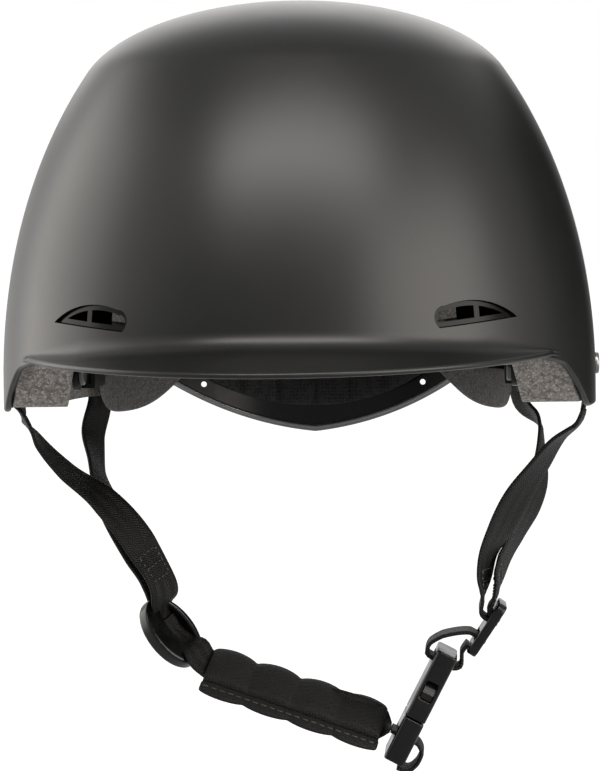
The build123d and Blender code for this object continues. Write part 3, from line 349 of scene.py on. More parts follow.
def roundCorners(corners, rounding, limit, samples):
    # straight runs with rounded corners; a corner takes no more than a share of either run
    points = np.array(corners, dtype=float)
    line = [points[0]]
    t = np.linspace(0, 1, samples)[:, None]
    for before, corner, after in zip(points, points[1:], points[2:]):
        a, b = unit(before - corner), unit(after - corner)
        angle = np.arccos(np.clip(a @ b, -1, 1))
        run = min(np.linalg.norm(before - corner), np.linalg.norm(after - corner))
        trim = min(rounding / tan(angle / 2), limit * run)
        line.extend(bentCurve(corner + a * trim, corner, corner + b * trim, t))
    return np.array(line + [points[-1]])


def shadeSmooth(mesh, sharp=0):
    mesh.polygons.foreach_set("use_smooth", np.ones(len(mesh.polygons), dtype=bool))
    if sharp:
        mesh.set_sharp_from_angle(angle=radians(sharp))


def placePiece(piece, finishName, body, replaces):
    piece.data.materials.append(finishes[finishName])
    if replaces:
        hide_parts(*replaces)
    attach(piece, body)
    return piece


def surfacePiece(name, grid, finishName, body="helmet", loop=False, uv=None, sharp=40, replaces=()):
    # grid is rows x columns x 3 in millimetres; the columns close on themselves, and the rows do too where loop is
    # set. Other ends are closed with a fan. All faces are turned outwards, by the sign of the enclosed volume.
    rows, columns = grid.shape[:2]
    row = np.arange(rows if loop else rows - 1)[:, None]
    column = np.arange(columns)[None, :]
    below, beside = (row + 1) % rows, (column + 1) % columns
    corners = [(row, column), (row, beside), (below, beside), (below, column)]
    quads = np.stack([(r * columns + c).reshape(-1) for r, c in corners], axis=1)
    points = grid.reshape(-1, 3)
    fans = np.zeros((0, 3), dtype=int)
    if not loop:
        first, last, total = grid[0].mean(axis=0), grid[-1].mean(axis=0), rows * columns
        points = np.vstack([points, first, last])
        c, n = np.arange(columns), (np.arange(columns) + 1) % columns
        bottom = (rows - 1) * columns
        fans = np.vstack([
            np.stack([n, c, np.full(columns, total)], axis=1),
            np.stack([bottom + c, bottom + n, np.full(columns, total + 1)], axis=1),
        ])
    triangles = np.vstack([quads[:, [0, 1, 2]], quads[:, [0, 2, 3]], fans])
    a, b, c = (points[triangles[:, k]] for k in range(3))
    inward = np.einsum("ij,ij->i", a, np.cross(b, c)).sum() < 0
    if inward:
        quads, fans = quads[:, ::-1], fans[:, ::-1]
    mesh = bpy.data.meshes.new(name)
    mesh.from_pydata((points * millimetre).tolist(), [], quads.tolist() + fans.tolist())
    if uv is not None:  # uv is rows x (columns + 1) x 2, so the last column of faces isn't drawn back over the rest
        beyond = ((row, column), (row, column + 1), (row + 1, column + 1), (row + 1, column))
        flat = [(r % len(uv), np.broadcast_to(c, (row.shape[0], columns))) for r, c in beyond]
        loops = np.stack([uv[r, c].reshape(-1, 2) for r, c in flat], axis=1)
        if inward:
            loops = loops[:, ::-1]
        values = loops.reshape(-1, 2)
        if len(fans):
            values = np.vstack([values, np.repeat(uv[0, :1], fans.size, axis=0)])
        layer = mesh.uv_layers.new(name="threads")
        layer.data.foreach_set("uv", values.reshape(-1).astype(np.float32))
    shadeSmooth(mesh, sharp)
    mesh.update()
    return placePiece(newObject(name, mesh), finishName, body, replaces)


def bakeModifiers(piece):
    # the piece keeps what its modifiers make, and none of them
    bpy.context.view_layer.update()
    evaluated = piece.evaluated_get(bpy.context.evaluated_depsgraph_get())
    made = bpy.data.meshes.new_from_object(evaluated)
    piece.modifiers.clear()
    piece.data = made


def roundedPiece(name, nodeName, finishName, body="helmet", grain=0.35, passes=5):
    # a moulded piece with its edges rounded: the CAD mesh, merged, made again on a fine grid and smoothed
    piece = newObject(name, nodes[nodeName].data.copy())
    piece.data.materials.clear()
    joined = bmesh.new()
    joined.from_mesh(piece.data)
    bmesh.ops.remove_doubles(joined, verts=joined.verts, dist=0.001 * millimetre)
    joined.to_mesh(piece.data)
    joined.free()
    skin = piece.modifiers.new("skin", "REMESH")
    skin.mode, skin.voxel_size = "VOXEL", grain * millimetre
    rounding = piece.modifiers.new("rounding", "SMOOTH")
    rounding.factor, rounding.iterations = 0.5, passes
    bakeModifiers(piece)
    shadeSmooth(piece.data)
    return placePiece(piece, finishName, body, (nodeName,))


domeSettings = {
    "halfWidth": 106.5, "frontReach": 118.0, "rearReach": 125.0, "crown": 144.9, "belt": 10.0, "sideRise": 154.5,
    "capRise": 35.3, "shoulder": 119.2, "shoulderRadius": 16.0, "lowest": -30, "samples": (400, 900, 40),
}


def domeWidth(inset, height):
    # half width at a height: an ellipse above the belt, straight below it
    d = domeSettings
    share = np.maximum(np.asarray(height, dtype=float) - d["belt"], 0) / (d["sideRise"] - inset)
    return (d["halfWidth"] - inset) * np.sqrt(1 - np.minimum(share, 1) ** 2)


def domeMeridian(inset):
    # the dome's half section from crown to bottom, as half width and height: cap, rounded shoulder and side
    d = domeSettings
    top, shoulder = d["crown"] - inset, d["shoulder"] - inset
    capShare = 1 - (top - shoulder) / d["capRise"]
    capWidth = float(domeWidth(inset, shoulder)) / sqrt(1 - capShare**2)
    capCount, sideCount, cornerCount = d["samples"]
    angle = np.linspace(pi / 2, asin(capShare), capCount)
    cap = np.stack([capWidth * np.cos(angle), top - d["capRise"] + d["capRise"] * np.sin(angle)], axis=1)
    heights = np.linspace(shoulder, d["lowest"], sideCount)
    side = np.stack([domeWidth(inset, heights), heights], axis=1)
    before, after = unit(cap[-1] - cap[-2]), unit(side[1] - side[0])
    turn = np.arccos(np.clip(before @ after, -1, 1))
    trim = d["shoulderRadius"] * tan(turn / 2)
    corner = side[0]
    keepCap = cap[np.linalg.norm(cap - corner, axis=1) > trim]
    keepSide = side[np.linalg.norm(side - corner, axis=1) > trim]
    rounded = bentCurve(keepCap[-1], corner, keepSide[0], np.linspace(0, 1, cornerCount)[:, None])
    line = np.vstack([keepCap, rounded[1:-1], keepSide])
    return line, arcSteps(line)


def planStretch(bearing, inset):
    # distance from the axis for a half width of 1: half ellipses to the front (-Y) and rear
    d = domeSettings
    reach = np.where(np.sin(bearing) < 0, d["frontReach"], d["rearReach"]) - inset
    return 1 / np.sqrt(np.cos(bearing) ** 2 + (np.sin(bearing) * (d["halfWidth"] - inset) / reach) ** 2)


shellSettings = {
    "wall": 2.4, "columns": 400, "edgeRound": 1.0,
    "edge": ((-158, 19), (-71, 19), (-55, 16), (-30, 0), (62, 0), (96, 17), (125, 24), (165, 24)), "edgeCorner": 12.0,
    "visorHalf": 101.5, "visorReach": 140.0, "visorEdge": 17.5, "visorThick": 2.0, "visorSlope": 22.0,
    "visorTilt": 2.4, "crease": 5.5, "plain": 20.0,
    # rows of the cap and side, crease, visor's top, rim, underside, wall, half of the edge, and inside
    "rows": (84, 16, 12, 10, 10, 7, 6, 34),
    # how far down the wall these runs start where there is no visor, and how much each takes up
    "down": (1.0, 1.8, 2.6, 3.4), "downStep": 0.8,
}
ventSettings = {
    "length": 36.0, "height": 8.7, "cut": 14, "samples": (14, 14, 8),
    "shares": ((-0.45, -0.5), (0.5, -0.16), (0.05, 0.5), (-0.38, 0.34), (-0.5, -0.14)),
    "places": ((40.8, 34.3, False), (139.0, 50.0, True)), "names": ("front_vent_shade_sleeve_", "rear_vent_shade_sleeve_"),
}
holeSettings = {"height": 14, "radius": 2.1, "inwards": 6, "outwards": 4, "sides": 24}
# the vents' black sleeves are painted shade, darkening each channel through the foam
shadeSleeveSections = ((0.93, 4.5), (0.93, 22.0), (0.86, 22.0), (0.86, 4.5))  # size of the outline and depth


def shellGrid(s):
    # each column is a bearing: cap and side down to the crease, a hollow curve out on to the visor, round its rim,
    # back under it to the wall, round the shell's edge, then up the inside
    bearing = np.linspace(0, 2 * pi, s["columns"], endpoint=False)
    line, steps = domeMeridian(0)
    inner, innerSteps = domeMeridian(s["wall"])
    heights, widths = line[::-1, 1], line[::-1, 0]
    stretch, innerStretch = planStretch(bearing, 0), planStretch(bearing, s["wall"])
    ratio = s["visorHalf"] / s["visorReach"]
    visorOut = s["visorHalf"] / np.sqrt(np.cos(bearing) ** 2 + (np.sin(bearing) * ratio) ** 2)
    visorOut = np.where(np.sin(bearing) < 0, visorOut, 0)
    rise = s["visorHalf"] * tan(radians(s["visorSlope"])) / np.maximum(visorOut, 1)
    lean = tan(radians(s["visorTilt"]))
    capRows, creaseRows, topRows, rimRows, underRows, wallRows, edgeRows, insideRows = s["rows"]

    def shares(count):
        return np.linspace(0, 1, count)[1:]

    def wallOut(z):
        return np.interp(z, heights, widths) * stretch

    def visorTop(out):
        return s["visorEdge"] + (visorOut - out) * rise + (s["visorReach"] + out * np.sin(bearing)) * lean

    plain = s["visorEdge"] + (s["visorReach"] + wallOut(s["plain"]) * np.sin(bearing)) * lean
    crease = np.full_like(bearing, 24.0)
    for _ in range(12):  # where the visor's top meets the wall
        crease = np.where(visorOut > 0, visorTop(np.minimum(wallOut(crease), visorOut)), plain)
    extent = np.maximum(visorOut - wallOut(plain), 0)
    crease = np.where(extent > 0, crease, plain)
    edgeTable = roundCorners(s["edge"], s["edgeCorner"], 0.49, 24)
    edge = np.full_like(bearing, 15.0)
    for _ in range(6):
        edge = np.interp(wallOut(edge) * np.sin(bearing), edgeTable[:, 0], edgeTable[:, 1])
    share = np.clip(extent / 2.0, 0, 1)
    share = share * share * (3 - 2 * share)
    bend = np.minimum(s["crease"], 0.62 * extent)
    rim = s["visorThick"] / 2
    rows = []

    def addRow(out, z):
        rows.append(np.stack([out * np.cos(bearing), out * np.sin(bearing), z + 0 * bearing], axis=1))

    def blendRow(out, z, plainZ):
        # where the visor has no reach, the same rows lie on the wall
        addRow(wallOut(plainZ) * (1 - share) + out * share, plainZ * (1 - share) + z * share)

    start = crease + np.maximum(bend, 0.5)
    startStep = np.interp(start, heights, steps[::-1])
    for t in np.linspace(0.012, 1, capRows):
        along = t * startStep
        addRow(np.interp(along, steps, line[:, 0]) * stretch, np.interp(along, steps, line[:, 1]))
    hollowOut = wallOut(crease) + bend
    hollowZ = visorTop(hollowOut)
    down, step, rounding = s["down"], s["downStep"], s["edgeRound"]
    for t in shares(creaseRows):
        out, z = bentCurve(wallOut(start), wallOut(crease), hollowOut, t), bentCurve(start, crease, hollowZ, t)
        blendRow(out, z, start - t * down[0])
    for t in shares(topRows):
        out = hollowOut * (1 - t) + (visorOut - rim) * t
        blendRow(out, visorTop(out), start - down[0] - t * step)
    rimZ = visorTop(visorOut - rim) - rim
    for t in shares(rimRows):
        turn = pi / 2 - pi * t
        blendRow(visorOut - rim + rim * cos(turn), rimZ + rim * sin(turn), start - down[1] - t * step)
    underOut = wallOut(crease - s["visorThick"]) + 0.15
    floorZ = edge + 1.6
    for t in shares(underRows):
        out = (visorOut - rim) * (1 - t) + underOut * t
        z = np.maximum(visorTop(out) - s["visorThick"], floorZ * t + (rimZ - rim) * (1 - t))
        blendRow(out, z, start - down[2] - t * step)
    wallTop = np.maximum(visorTop(underOut) - s["visorThick"], floorZ) * share + (start - down[3]) * (1 - share)
    for t in shares(wallRows):
        z = wallTop * (1 - t) + (edge + rounding) * t
        addRow(wallOut(z), z)
    innerHeights, innerWidths = inner[::-1, 1], inner[::-1, 0]

    def innerOut(z):
        return np.interp(z, innerHeights, innerWidths) * innerStretch

    outer, inside = wallOut(edge), innerOut(edge)
    for t in shares(edgeRows):
        addRow(outer - rounding * (1 - cos(t * pi / 2)), edge + rounding * (1 - sin(t * pi / 2)))
    for t in np.linspace(0, 1, edgeRows):
        addRow(inside + rounding * (1 - sin(t * pi / 2)), edge + rounding * (1 - cos(t * pi / 2)))
    endStep = np.interp(edge + rounding, innerHeights, innerSteps[::-1])
    for t in np.linspace(1, 0.02, insideRows)[1:]:
        along = t * endStep
        addRow(np.interp(along, innerSteps, inner[:, 0]) * innerStretch, np.interp(along, innerSteps, inner[:, 1]))
    return np.array(rows)


def ventFrame(bearing, height, side, inset=0.0):
    # a plane on the wall: middle, direction along the wall and direction out of it
    d = domeSettings
    width = float(domeWidth(inset, height))
    reach = (d["frontReach"] if bearing < 90 else d["rearReach"]) - inset
    depth = reach * width / (d["halfWidth"] - inset)
    out = np.array([sin(radians(bearing)), -cos(radians(bearing)), 0])
    span = hypot(width * out[0], depth * out[1])
    middle = np.array([width**2 * out[0] / span, depth**2 * out[1] / span, height])
    along = np.array([-out[1], out[0], 0])
    mirror = np.array([side, 1, 1])
    return middle * mirror, along * mirror, out * mirror


def arcThrough(a, b, c, count):
    # points of the circle through three points
    a, b, c = (np.array(p, dtype=float) for p in (a, b, c))
    d = 2 * (a[0] * (b[1] - c[1]) + b[0] * (c[1] - a[1]) + c[0] * (a[1] - b[1]))
    ux = ((a @ a) * (b[1] - c[1]) + (b @ b) * (c[1] - a[1]) + (c @ c) * (a[1] - b[1])) / d
    uy = ((a @ a) * (c[0] - b[0]) + (b @ b) * (a[0] - c[0]) + (c @ c) * (b[0] - a[0])) / d
    centre = np.array([ux, uy])
    angles = [np.arctan2(*(p - centre)[::-1]) for p in (a, b, c)]
    first, middle, last = angles
    while middle < first:
        middle += 2 * pi
    while last < first:
        last += 2 * pi
    if last < middle:
        last -= 2 * pi
    sweep = np.linspace(first, last, count)
    return centre + np.linalg.norm(a - centre) * np.stack([np.cos(sweep), np.sin(sweep)], axis=1)


def ventOutlines(v):
    # for each vent: the frame it lies in, and its outline as points from the middle, lying flat
    for number, (bearing, height, flip) in enumerate(v["places"]):
        points = [(along * v["length"], up * v["height"]) for along, up in v["shares"]]
        straight, upper, lower = v["samples"]
        first = np.linspace(points[0], points[1], straight)
        upper, lower = arcThrough(*points[1:4], upper), arcThrough(points[3], points[4], points[0], lower)
        outline = np.vstack([first[:-1], upper[:-1], lower[:-1]]) * (-1 if flip else 1, 1)
        for side, hand in ((1, "left"), (-1, "right")):
            middle, along, out = ventFrame(bearing, height, side)
            flat = outline[:, :1] * along + outline[:, 1:] * np.array([0, 0, 1])
            yield v["names"][number] + hand, middle, out, flat


def cutOut(piece, cutters):
    # takes the cutters' space out of a piece; a cutter is two outlines, joined by walls
    cutPoints, cutFaces, offset = [], [], 0
    for grid in cutters:
        count = grid.shape[1]
        c = np.arange(count)
        n = (c + 1) % count
        walls = np.stack([c, n, count + n, count + c], axis=1)
        faces = walls.tolist() + [c[::-1].tolist(), (count + c).tolist()]
        centre = grid.reshape(-1, 3).mean(axis=0)
        a, b, d = grid[0][c] - centre, grid[0][n] - centre, grid[1][c] - centre
        if np.einsum("ij,ij->i", a, np.cross(b, d)).sum() < 0:
            faces = [face[::-1] for face in faces]
        cutFaces += [[offset + index for index in face] for face in faces]
        cutPoints += (grid.reshape(-1, 3) * millimetre).tolist()
        offset += 2 * count
    cutMesh = bpy.data.meshes.new("ventCutter")
    cutMesh.from_pydata(cutPoints, [], cutFaces)
    cutter = newObject("ventCutter", cutMesh)
    opening = piece.modifiers.new("vents", "BOOLEAN")
    opening.operation, opening.object, opening.solver = "DIFFERENCE", cutter, "EXACT"
    bakeModifiers(piece)
    bpy.data.objects.remove(cutter)
    shadeSmooth(piece.data, 48)


grid = shellGrid(shellSettings)
shell = surfacePiece("outer_shell_surface", grid, "satinShell", replaces=("outer_shell",))
vents = list(ventOutlines(ventSettings))
cut, hole, radius = ventSettings["cut"], holeSettings, holeSettings["radius"]
cutters = [np.array([middle + flat - out * cut, middle + flat + out * cut]) for _, middle, out, flat in vents]
a = circle(hole["sides"])[0]
for side in (1, -1):
    wall = 0 * a + side * domeSettings["halfWidth"]
    ring = np.stack([wall, radius * np.cos(a), hole["height"] + radius * np.sin(a)], axis=1)
    cutters.append(np.array([ring - [side * hole["inwards"], 0, 0], ring + [side * hole["outwards"], 0, 0]]))
cutOut(shell, cutters)

# a black sleeve lines each vent's way through the foam: painted shade for the deep channel
for name, middle, out, flat in vents:
    rows = [middle - out * depth + size * flat for size, depth in shadeSleeveSections]
    surfacePiece(name, np.array(rows), "glossTrim", loop=True)
print("shell:", len(shell.data.vertices), "points")


webbingSettings = {
    "width": 15.0, "thickness": 1.4, "step": 1.3, "flatPoints": 13, "edgePoints": 6,
    # a selvedge stands up by so much, so far from the edge and so wide
    "selvedge": (0.08, 1.3, 0.5),
}


def smoothRoute(places, step):
    # a smooth curve through the stations: at each, the slope is its neighbours' mean, weighted by length
    points = np.array([place for place, _ in places], dtype=float)
    wides = np.array([wide for _, wide in places], dtype=float)
    both = np.hstack([points, wides])
    spans = np.linalg.norm(np.diff(points, axis=0), axis=1)
    knots = arcSteps(points)
    slopes = np.diff(both, axis=0) / spans[:, None]
    tangents = np.empty_like(both)
    tangents[0], tangents[-1] = slopes[0], slopes[-1]
    weight = (spans[1:] / (spans[1:] + spans[:-1]))[:, None]
    tangents[1:-1] = slopes[:-1] * weight + slopes[1:] * (1 - weight)
    t = np.linspace(0, knots[-1], int(knots[-1] / step) + 2)
    k = np.clip(np.searchsorted(knots, t, side="right") - 1, 0, len(spans) - 1)
    h = spans[k][:, None]
    s = ((t - knots[k])[:, None]) / h
    curve = (
        both[k] * (1 + 2 * s) * (1 - s) ** 2 + tangents[k] * h * s * (1 - s) ** 2
        + both[k + 1] * s**2 * (3 - 2 * s) + tangents[k + 1] * h * s**2 * (s - 1)
    )
    return curve[:, :3], curve[:, 3:], t


def tapeSection(w):
    # outline of the webbing: flat faces, a slightly thicker selvedge and rounded edges
    half, thick = w["width"] / 2, w["thickness"] / 2
    flat = np.linspace(-half + thick, half - thick, w["flatPoints"])
    stands, away, wide = w["selvedge"]
    selvedge = stands * dip(np.abs(flat) - half + away, wide)
    turn = np.linspace(-pi / 2, pi / 2, w["edgePoints"])[1:-1]
    right = np.stack([half - thick + thick * np.cos(turn), thick * np.sin(turn)], axis=1)
    bottom = np.stack([flat, -thick - selvedge], axis=1)
    top = np.stack([flat[::-1], thick + selvedge[::-1]], axis=1)
    return np.vstack([bottom, right, top, -right])


tapeFrames = {}


def tapePiece(name, places, body="helmet", replaces=(), pinches=()):
    # the webbing's section carried along its route; a pinch is the share of the width lost, the share of the route
    # where it is and how far it reaches, as where webbing bunches in a ring
    points, wides, t = smoothRoute(places, webbingSettings["step"])
    along = unit(np.gradient(points, axis=0))
    across = unit(wides - along * np.einsum("ij,ij->i", wides, along)[:, None])
    normal = np.cross(along, across)
    tapeFrames[name] = (points, across, normal, t)
    section = tapeSection(webbingSettings)
    narrow = np.ones_like(t)
    for lost, share, extent in pinches:
        narrow = narrow - lost * dip(t - share * t[-1], extent)
    grid = (
        points[:, None, :] + across[:, None, :] * section[None, :, :1] * narrow[:, None, None]
        + normal[:, None, :] * section[None, :, 1:]
    )
    acrossUv = np.concatenate([section[:, 0], section[:1, 0]])
    uv = np.stack(np.broadcast_arrays(acrossUv[None, :], t[:, None]), axis=-1)
    return surfacePiece(name, grid, "webbing", body, uv=uv, sharp=60, replaces=replaces)


# the straps' places are shares of the shell's half width, of how far back they spread and of how far they drop; the
# last number is the angle in degrees by which the webbing's width is turned away from Y
strapSettings = {
    "span": (106.5, 60.0, 131.4), "topOut": 102.5, "topHeights": (21.0, 10.0, -0.8),
    "frontRight": (
        (-0.954, -0.01, 0.020, -12), (-0.902, 0.02, 0.095, 4), (-0.816, 0.07, 0.178, 20),
        (-0.693, 0.13, 0.262, 38), (-0.562, 0.21, 0.403, 44), (-0.492, 0.266, 0.5495, 32),
    ),
    "rearRight": (
        (-0.778, 0.87, 0.099, 22), (-0.756, 0.71, 0.188, 8), (-0.696, 0.57, 0.309, 30),
        (-0.590, 0.46, 0.443, 44), (-0.532, 0.40, 0.515, 40), (-0.520, 0.365, 0.570, 34),
    ),
    "frontLeft": (
        (0.955, -0.01, 0.026, 4), (0.940, 0.02, 0.056, 10), (0.872, 0.05, 0.105, 22),
        (0.806, 0.10, 0.180, 36), (0.736, 0.15, 0.265, 48), (0.682, 0.20, 0.350, 44),
        (0.632, 0.23, 0.434, 26), (0.619, 0.24, 0.500, 18), (0.612, 0.233, 0.556, 0),
    ),
    "rearLeft": (
        (0.821, 0.84, 0.078, -2), (0.828, 0.72, 0.146, 8), (0.818, 0.62, 0.227, 24),
        (0.785, 0.53, 0.307, 28), (0.731, 0.46, 0.388, 24), (0.688, 0.41, 0.455, 18),
        (0.665, 0.32, 0.500, 10), (0.650, 0.235, 0.556, 0),
    ),
}
halfWidth, spread, drop = strapSettings["span"]
alongY = np.array([0, 1, 0])


def strapPlace(out, y, down):
    return np.array([out * halfWidth, y, -down * drop])


def leaning(angle):
    return np.array([sin(radians(angle)), 0, cos(radians(angle))])


def routeOf(key):
    return [
        (strapPlace(out, back * spread, down), np.array([sin(radians(turn)), cos(radians(turn)), 0]))
        for out, back, down, turn in strapSettings[key]
    ]


slotMiddle, slotAlong, _ = ventFrame(117.0, 14.0, 1, 11.7)  # where the rear straps leave the liner


def topOf(side, rear):
    x, y = slotMiddle[:2] if rear else (strapSettings["topOut"], 0)
    wide = slotAlong * (side, 1, 1) if rear else alongY
    return [(np.array([side * x, y, z]), wide) for z in strapSettings["topHeights"]]


sliderSettings = {
    "place": (0.6259, 14.0, 0.6343), "lean": 34.0, "thickness": 3.6, "bar": 5.0, "slot": 3.8, "edgeBar": 1.9,
    "reach": 11.0,
}
sliderPlace = strapPlace(*sliderSettings["place"])
sliderAlong = leaning(sliderSettings["lean"])
sliderOut = np.cross([0, 1, 0], sliderAlong)
slotAway = (sliderSettings["bar"] + sliderSettings["slot"]) / 2
halfSlider = sliderSettings["thickness"] / 2


def throughSlot(along, before, after):
    middle = sliderPlace + sliderAlong * along
    return [(middle + sliderOut * step, alongY) for step in (-halfSlider - before, halfSlider + after)]


# ring on the other side: its frame, and the webbing that goes down through its opening and out again to the front;
# its runs are given along the ring, across it and away from it
ringSettings = {
    "place": (-0.4712, 0.27, 0.647), "lean": 52.2, "turn": 35,
    "front": ((-9.4, 3.0, 1.6), (-4.8, 3.1, -2.6), (2.0, 3.1, -3.6), (6.0, 3.0, -3.8)),
    "rear": ((-9.0, 3.4, -5.4), (-3.0, 3.2, -5.8)),
    "chin": ((-5.0, 3.1, -1.0), (1.0, 3.1, -1.4), (6.2, 2.9, 0.2), (10.0, 1.8, 3.4), (14.2, 0.4, 3.9)),
}
out, back, down = ringSettings["place"]
ringPlace = strapPlace(out, back * spread, down)
ringOut = leaning(ringSettings["lean"])
ringAlong = np.array([ringOut[2], 0, -ringOut[0]])
ringTurn = radians(ringSettings["turn"])
ringAcross = ringOut * sin(ringTurn) + np.array([0, cos(ringTurn), 0])
ringNormal = np.cross(ringAlong, ringAcross)


def throughRing(key):
    runs = ringSettings[key]
    return [(ringPlace + ringAlong * a + ringAcross * b + ringNormal * n, ringAcross) for a, b, n in runs]


stacked = (webbingSettings["thickness"] + 0.3) / 2
inFront, behind = slotAway - stacked, slotAway + stacked
straps = {
    "front_strap_left": topOf(1, False) + routeOf("frontLeft") + throughSlot(inFront, 2 * stacked + 1.4, 0.3),
    "rear_strap_left": topOf(1, True) + routeOf("rearLeft") + throughSlot(behind, 0.7, 0.3),
    "front_strap_right": topOf(-1, False) + routeOf("frontRight") + throughRing("front"),
    "rear_strap_right": topOf(-1, True) + routeOf("rearRight") + throughRing("rear"),
}
strapPinches = {"front_strap_right": ((0.38, 0.96, 12.0),), "rear_strap_right": ((0.38, 1.0, 12.0),)}
for name, places in straps.items():
    tapePiece(name + "_webbing", places, replaces=(name,), pinches=strapPinches.get(name, ()))

# chin: pad and buckle frames; the folds' places are shares of the buckle's thickness and of a half's length
buckleSettings = {
    "place": (0.3754, 14.0, 0.881), "lean": 27.3, "male": 17.5, "female": 27.0, "thickness": 8.0, "gap": 0.3,
    "meeting": (-0.70, -0.474),
    "loop": (
        (-0.54, 1.17), (-0.94, 0.99), (-0.87, 0.845), (-0.57, 0.837), (0.60, 0.837), (0.85, 0.907), (0.56, 1.08),
    ),
    "link": ((0.68, -0.474), (1.04, -0.60), (1.06, -0.86), (0.85, -1.08), (0.30, -1.12)),
}
bucklePlace = strapPlace(*buckleSettings["place"])
buckleAlong = leaning(buckleSettings["lean"])
buckleOut = np.cross([0, 1, 0], buckleAlong)
buckleThick, maleLength = buckleSettings["thickness"], buckleSettings["male"]
meetOut, linkHeight = (share * size for share, size in zip(buckleSettings["meeting"], (buckleThick, maleLength)))
meeting = bucklePlace + buckleOut * (meetOut - buckleSettings["gap"]) + buckleAlong * linkHeight
chinSettings = {
    "start": (-0.3432, 14.0, 0.737), "end": (0.2663, 14.0, 0.909), "width": 18.5, "thickness": 8.0, "puffs": 4,
    "pinch": 0.74, "tilt": 32.0, "edge": 0.2, "flap": 5.0, "flapThickness": 2.0, "scallop": 1.4,
}
padStart, padEnd = (strapPlace(*chinSettings[key]) for key in ("start", "end"))
padAlong = unit(padEnd - padStart)
padLength = float(np.linalg.norm(padEnd - padStart))
padUp = np.array([-padAlong[2], 0, padAlong[0]])
padTilt = radians(chinSettings["tilt"])
padWide = np.array([0, cos(padTilt), 0]) + padUp * sin(padTilt)
padDeep = np.cross(padAlong, padWide)
chinPlaces = throughRing("chin") + [
    (padStart + padAlong * 1.4, padWide), (padStart + padAlong * padLength / 2, padWide), (padEnd, padWide),
    (meeting, alongY),
]
tapePiece("chin_webbing", chinPlaces, replaces=("chin_webbing_right",), pinches=((0.42, 0.06, 10.0),))


def foldedPlaces(places):
    # a path drawn from the side of the buckle, with its corners rounded, as stations whose width lies along Y
    line = roundCorners(places, 1.4, 0.45, 3)
    return [(bucklePlace + buckleOut * out + buckleAlong * along, alongY) for out, along in line]


def sideView(point):
    away = point - bucklePlace
    return (float(away @ buckleOut), float(away @ buckleAlong))


def buckleShares(key, length):
    return [(out * buckleThick, along * length) for out, along in buckleSettings[key]]


lowSlot = sliderPlace - sliderAlong * slotAway
lowerEnd = sliderPlace - sliderAlong * (slotAway + sliderSettings["edgeBar"] + sliderSettings["reach"]) / 2
loopStart = [sideView(lowSlot + sliderOut * away) for away in (halfSlider + 0.3, -halfSlider - 2.8)]
loopEnd = [sideView(lowerEnd + sliderOut * (-halfSlider - 0.7 - 0.3))]
loopPlaces = loopStart + buckleShares("loop", buckleSettings["female"]) + loopEnd
tapePiece("buckle_loop", foldedPlaces(loopPlaces), replaces=("buckle_loop_webbing",))
linkPlaces = [(meetOut, linkHeight)] + buckleShares("link", maleLength)
tapePiece("buckle_link", foldedPlaces(linkPlaces), body="buckle_plug", replaces=("buckle_link_webbing",))
print("webbing is laid")

for name, grain, passes in (
    ("strap_ring_right", 0.4, 10), ("strap_slider_left", 0.35, 14), ("buckle_female", 0.35, 16),
):
    roundedPiece(name + "_moulding", name, "hardwarePlastic", grain=grain, passes=passes)
roundedPiece("buckle_male_moulding", "buckle_male", "hardwarePlastic", "buckle_plug", passes=16)
print("hardware is rounded")


def divide(piece):
    smooth = piece.modifiers.new("smooth", "SUBSURF")
    smooth.levels = smooth.render_levels = 1
    bakeModifiers(piece)


clothSettings = {"quality": 6, "mass": 0.3, "stretch": 12, "bending": 0.5, "frames": 20}


def puffUp(piece, held, pressure, cap):
    # cloth with air in it: the held points stay, and no point moves more than cap millimetres
    before = np.empty(len(piece.data.vertices) * 3, dtype=np.float32)
    piece.data.vertices.foreach_get("co", before)
    group = piece.vertex_groups.new(name="held")
    for index, weight in enumerate(held):
        if weight > 0:
            group.add([index], float(weight), "REPLACE")
    c, cloth, scene = clothSettings, piece.modifiers.new("air", "CLOTH"), bpy.context.scene
    air = cloth.settings
    air.quality, air.mass, air.bending_stiffness = c["quality"], c["mass"], c["bending"]
    air.tension_stiffness = air.compression_stiffness = c["stretch"]
    air.use_pressure, air.uniform_pressure_force = True, pressure
    air.vertex_group_mass = "held"
    air.effector_weights.gravity = 0
    cloth.collision_settings.use_collision = False
    cloth.point_cache.frame_start, cloth.point_cache.frame_end = 1, c["frames"]
    for step in range(1, c["frames"] + 1):
        scene.frame_set(step)
    evaluated = piece.evaluated_get(bpy.context.evaluated_depsgraph_get())
    after = np.empty_like(before)
    evaluated.data.vertices.foreach_get("co", after)
    piece.modifiers.clear()
    scene.frame_set(1)
    shift = (after - before).reshape(-1, 3)
    far = np.linalg.norm(shift, axis=1, keepdims=True)
    shift *= np.minimum(1, cap * millimetre / np.maximum(far, 1e-9))
    piece.data.vertices.foreach_set("co", (before + shift.reshape(-1)).astype(np.float32))
    piece.data.update()
    divide(piece)


def coverPad(name, grid, held, pressure, cap, body="helmet"):
    pad = surfacePiece(name + "_cover", grid, "padFabric", body=body, sharp=0, replaces=(name,))
    puffUp(pad, np.append(held.reshape(-1), [1, 1]), pressure, cap)
    return pad


padSettings = {
    "inset": 22.2, "thickness": 6.5, "columns": 30, "rowsPerDegree": 1.5, "closing": 14, "seam": 0.62,
    "seamWidth": 1.1, "clear": 0.2, "full": 0.9,
}
padInset = padSettings["inset"]
comfortPads = {
    # bearing where it starts, sweep, low and high edge, reach of the dome, sewn channels
    "brow_pad": (242.0, 56.0, 22.0, 48.0, 118.0, 3),
    "rear_pad": (68.0, 44.0, 42.0, 72.0, 125.0, 2),
    "side_pad_left": (0.0, 50.0, 34.0, 66.0, 125.0, 2),
    "side_pad_right": (130.0, 50.0, 34.0, 66.0, 125.0, 2),
}


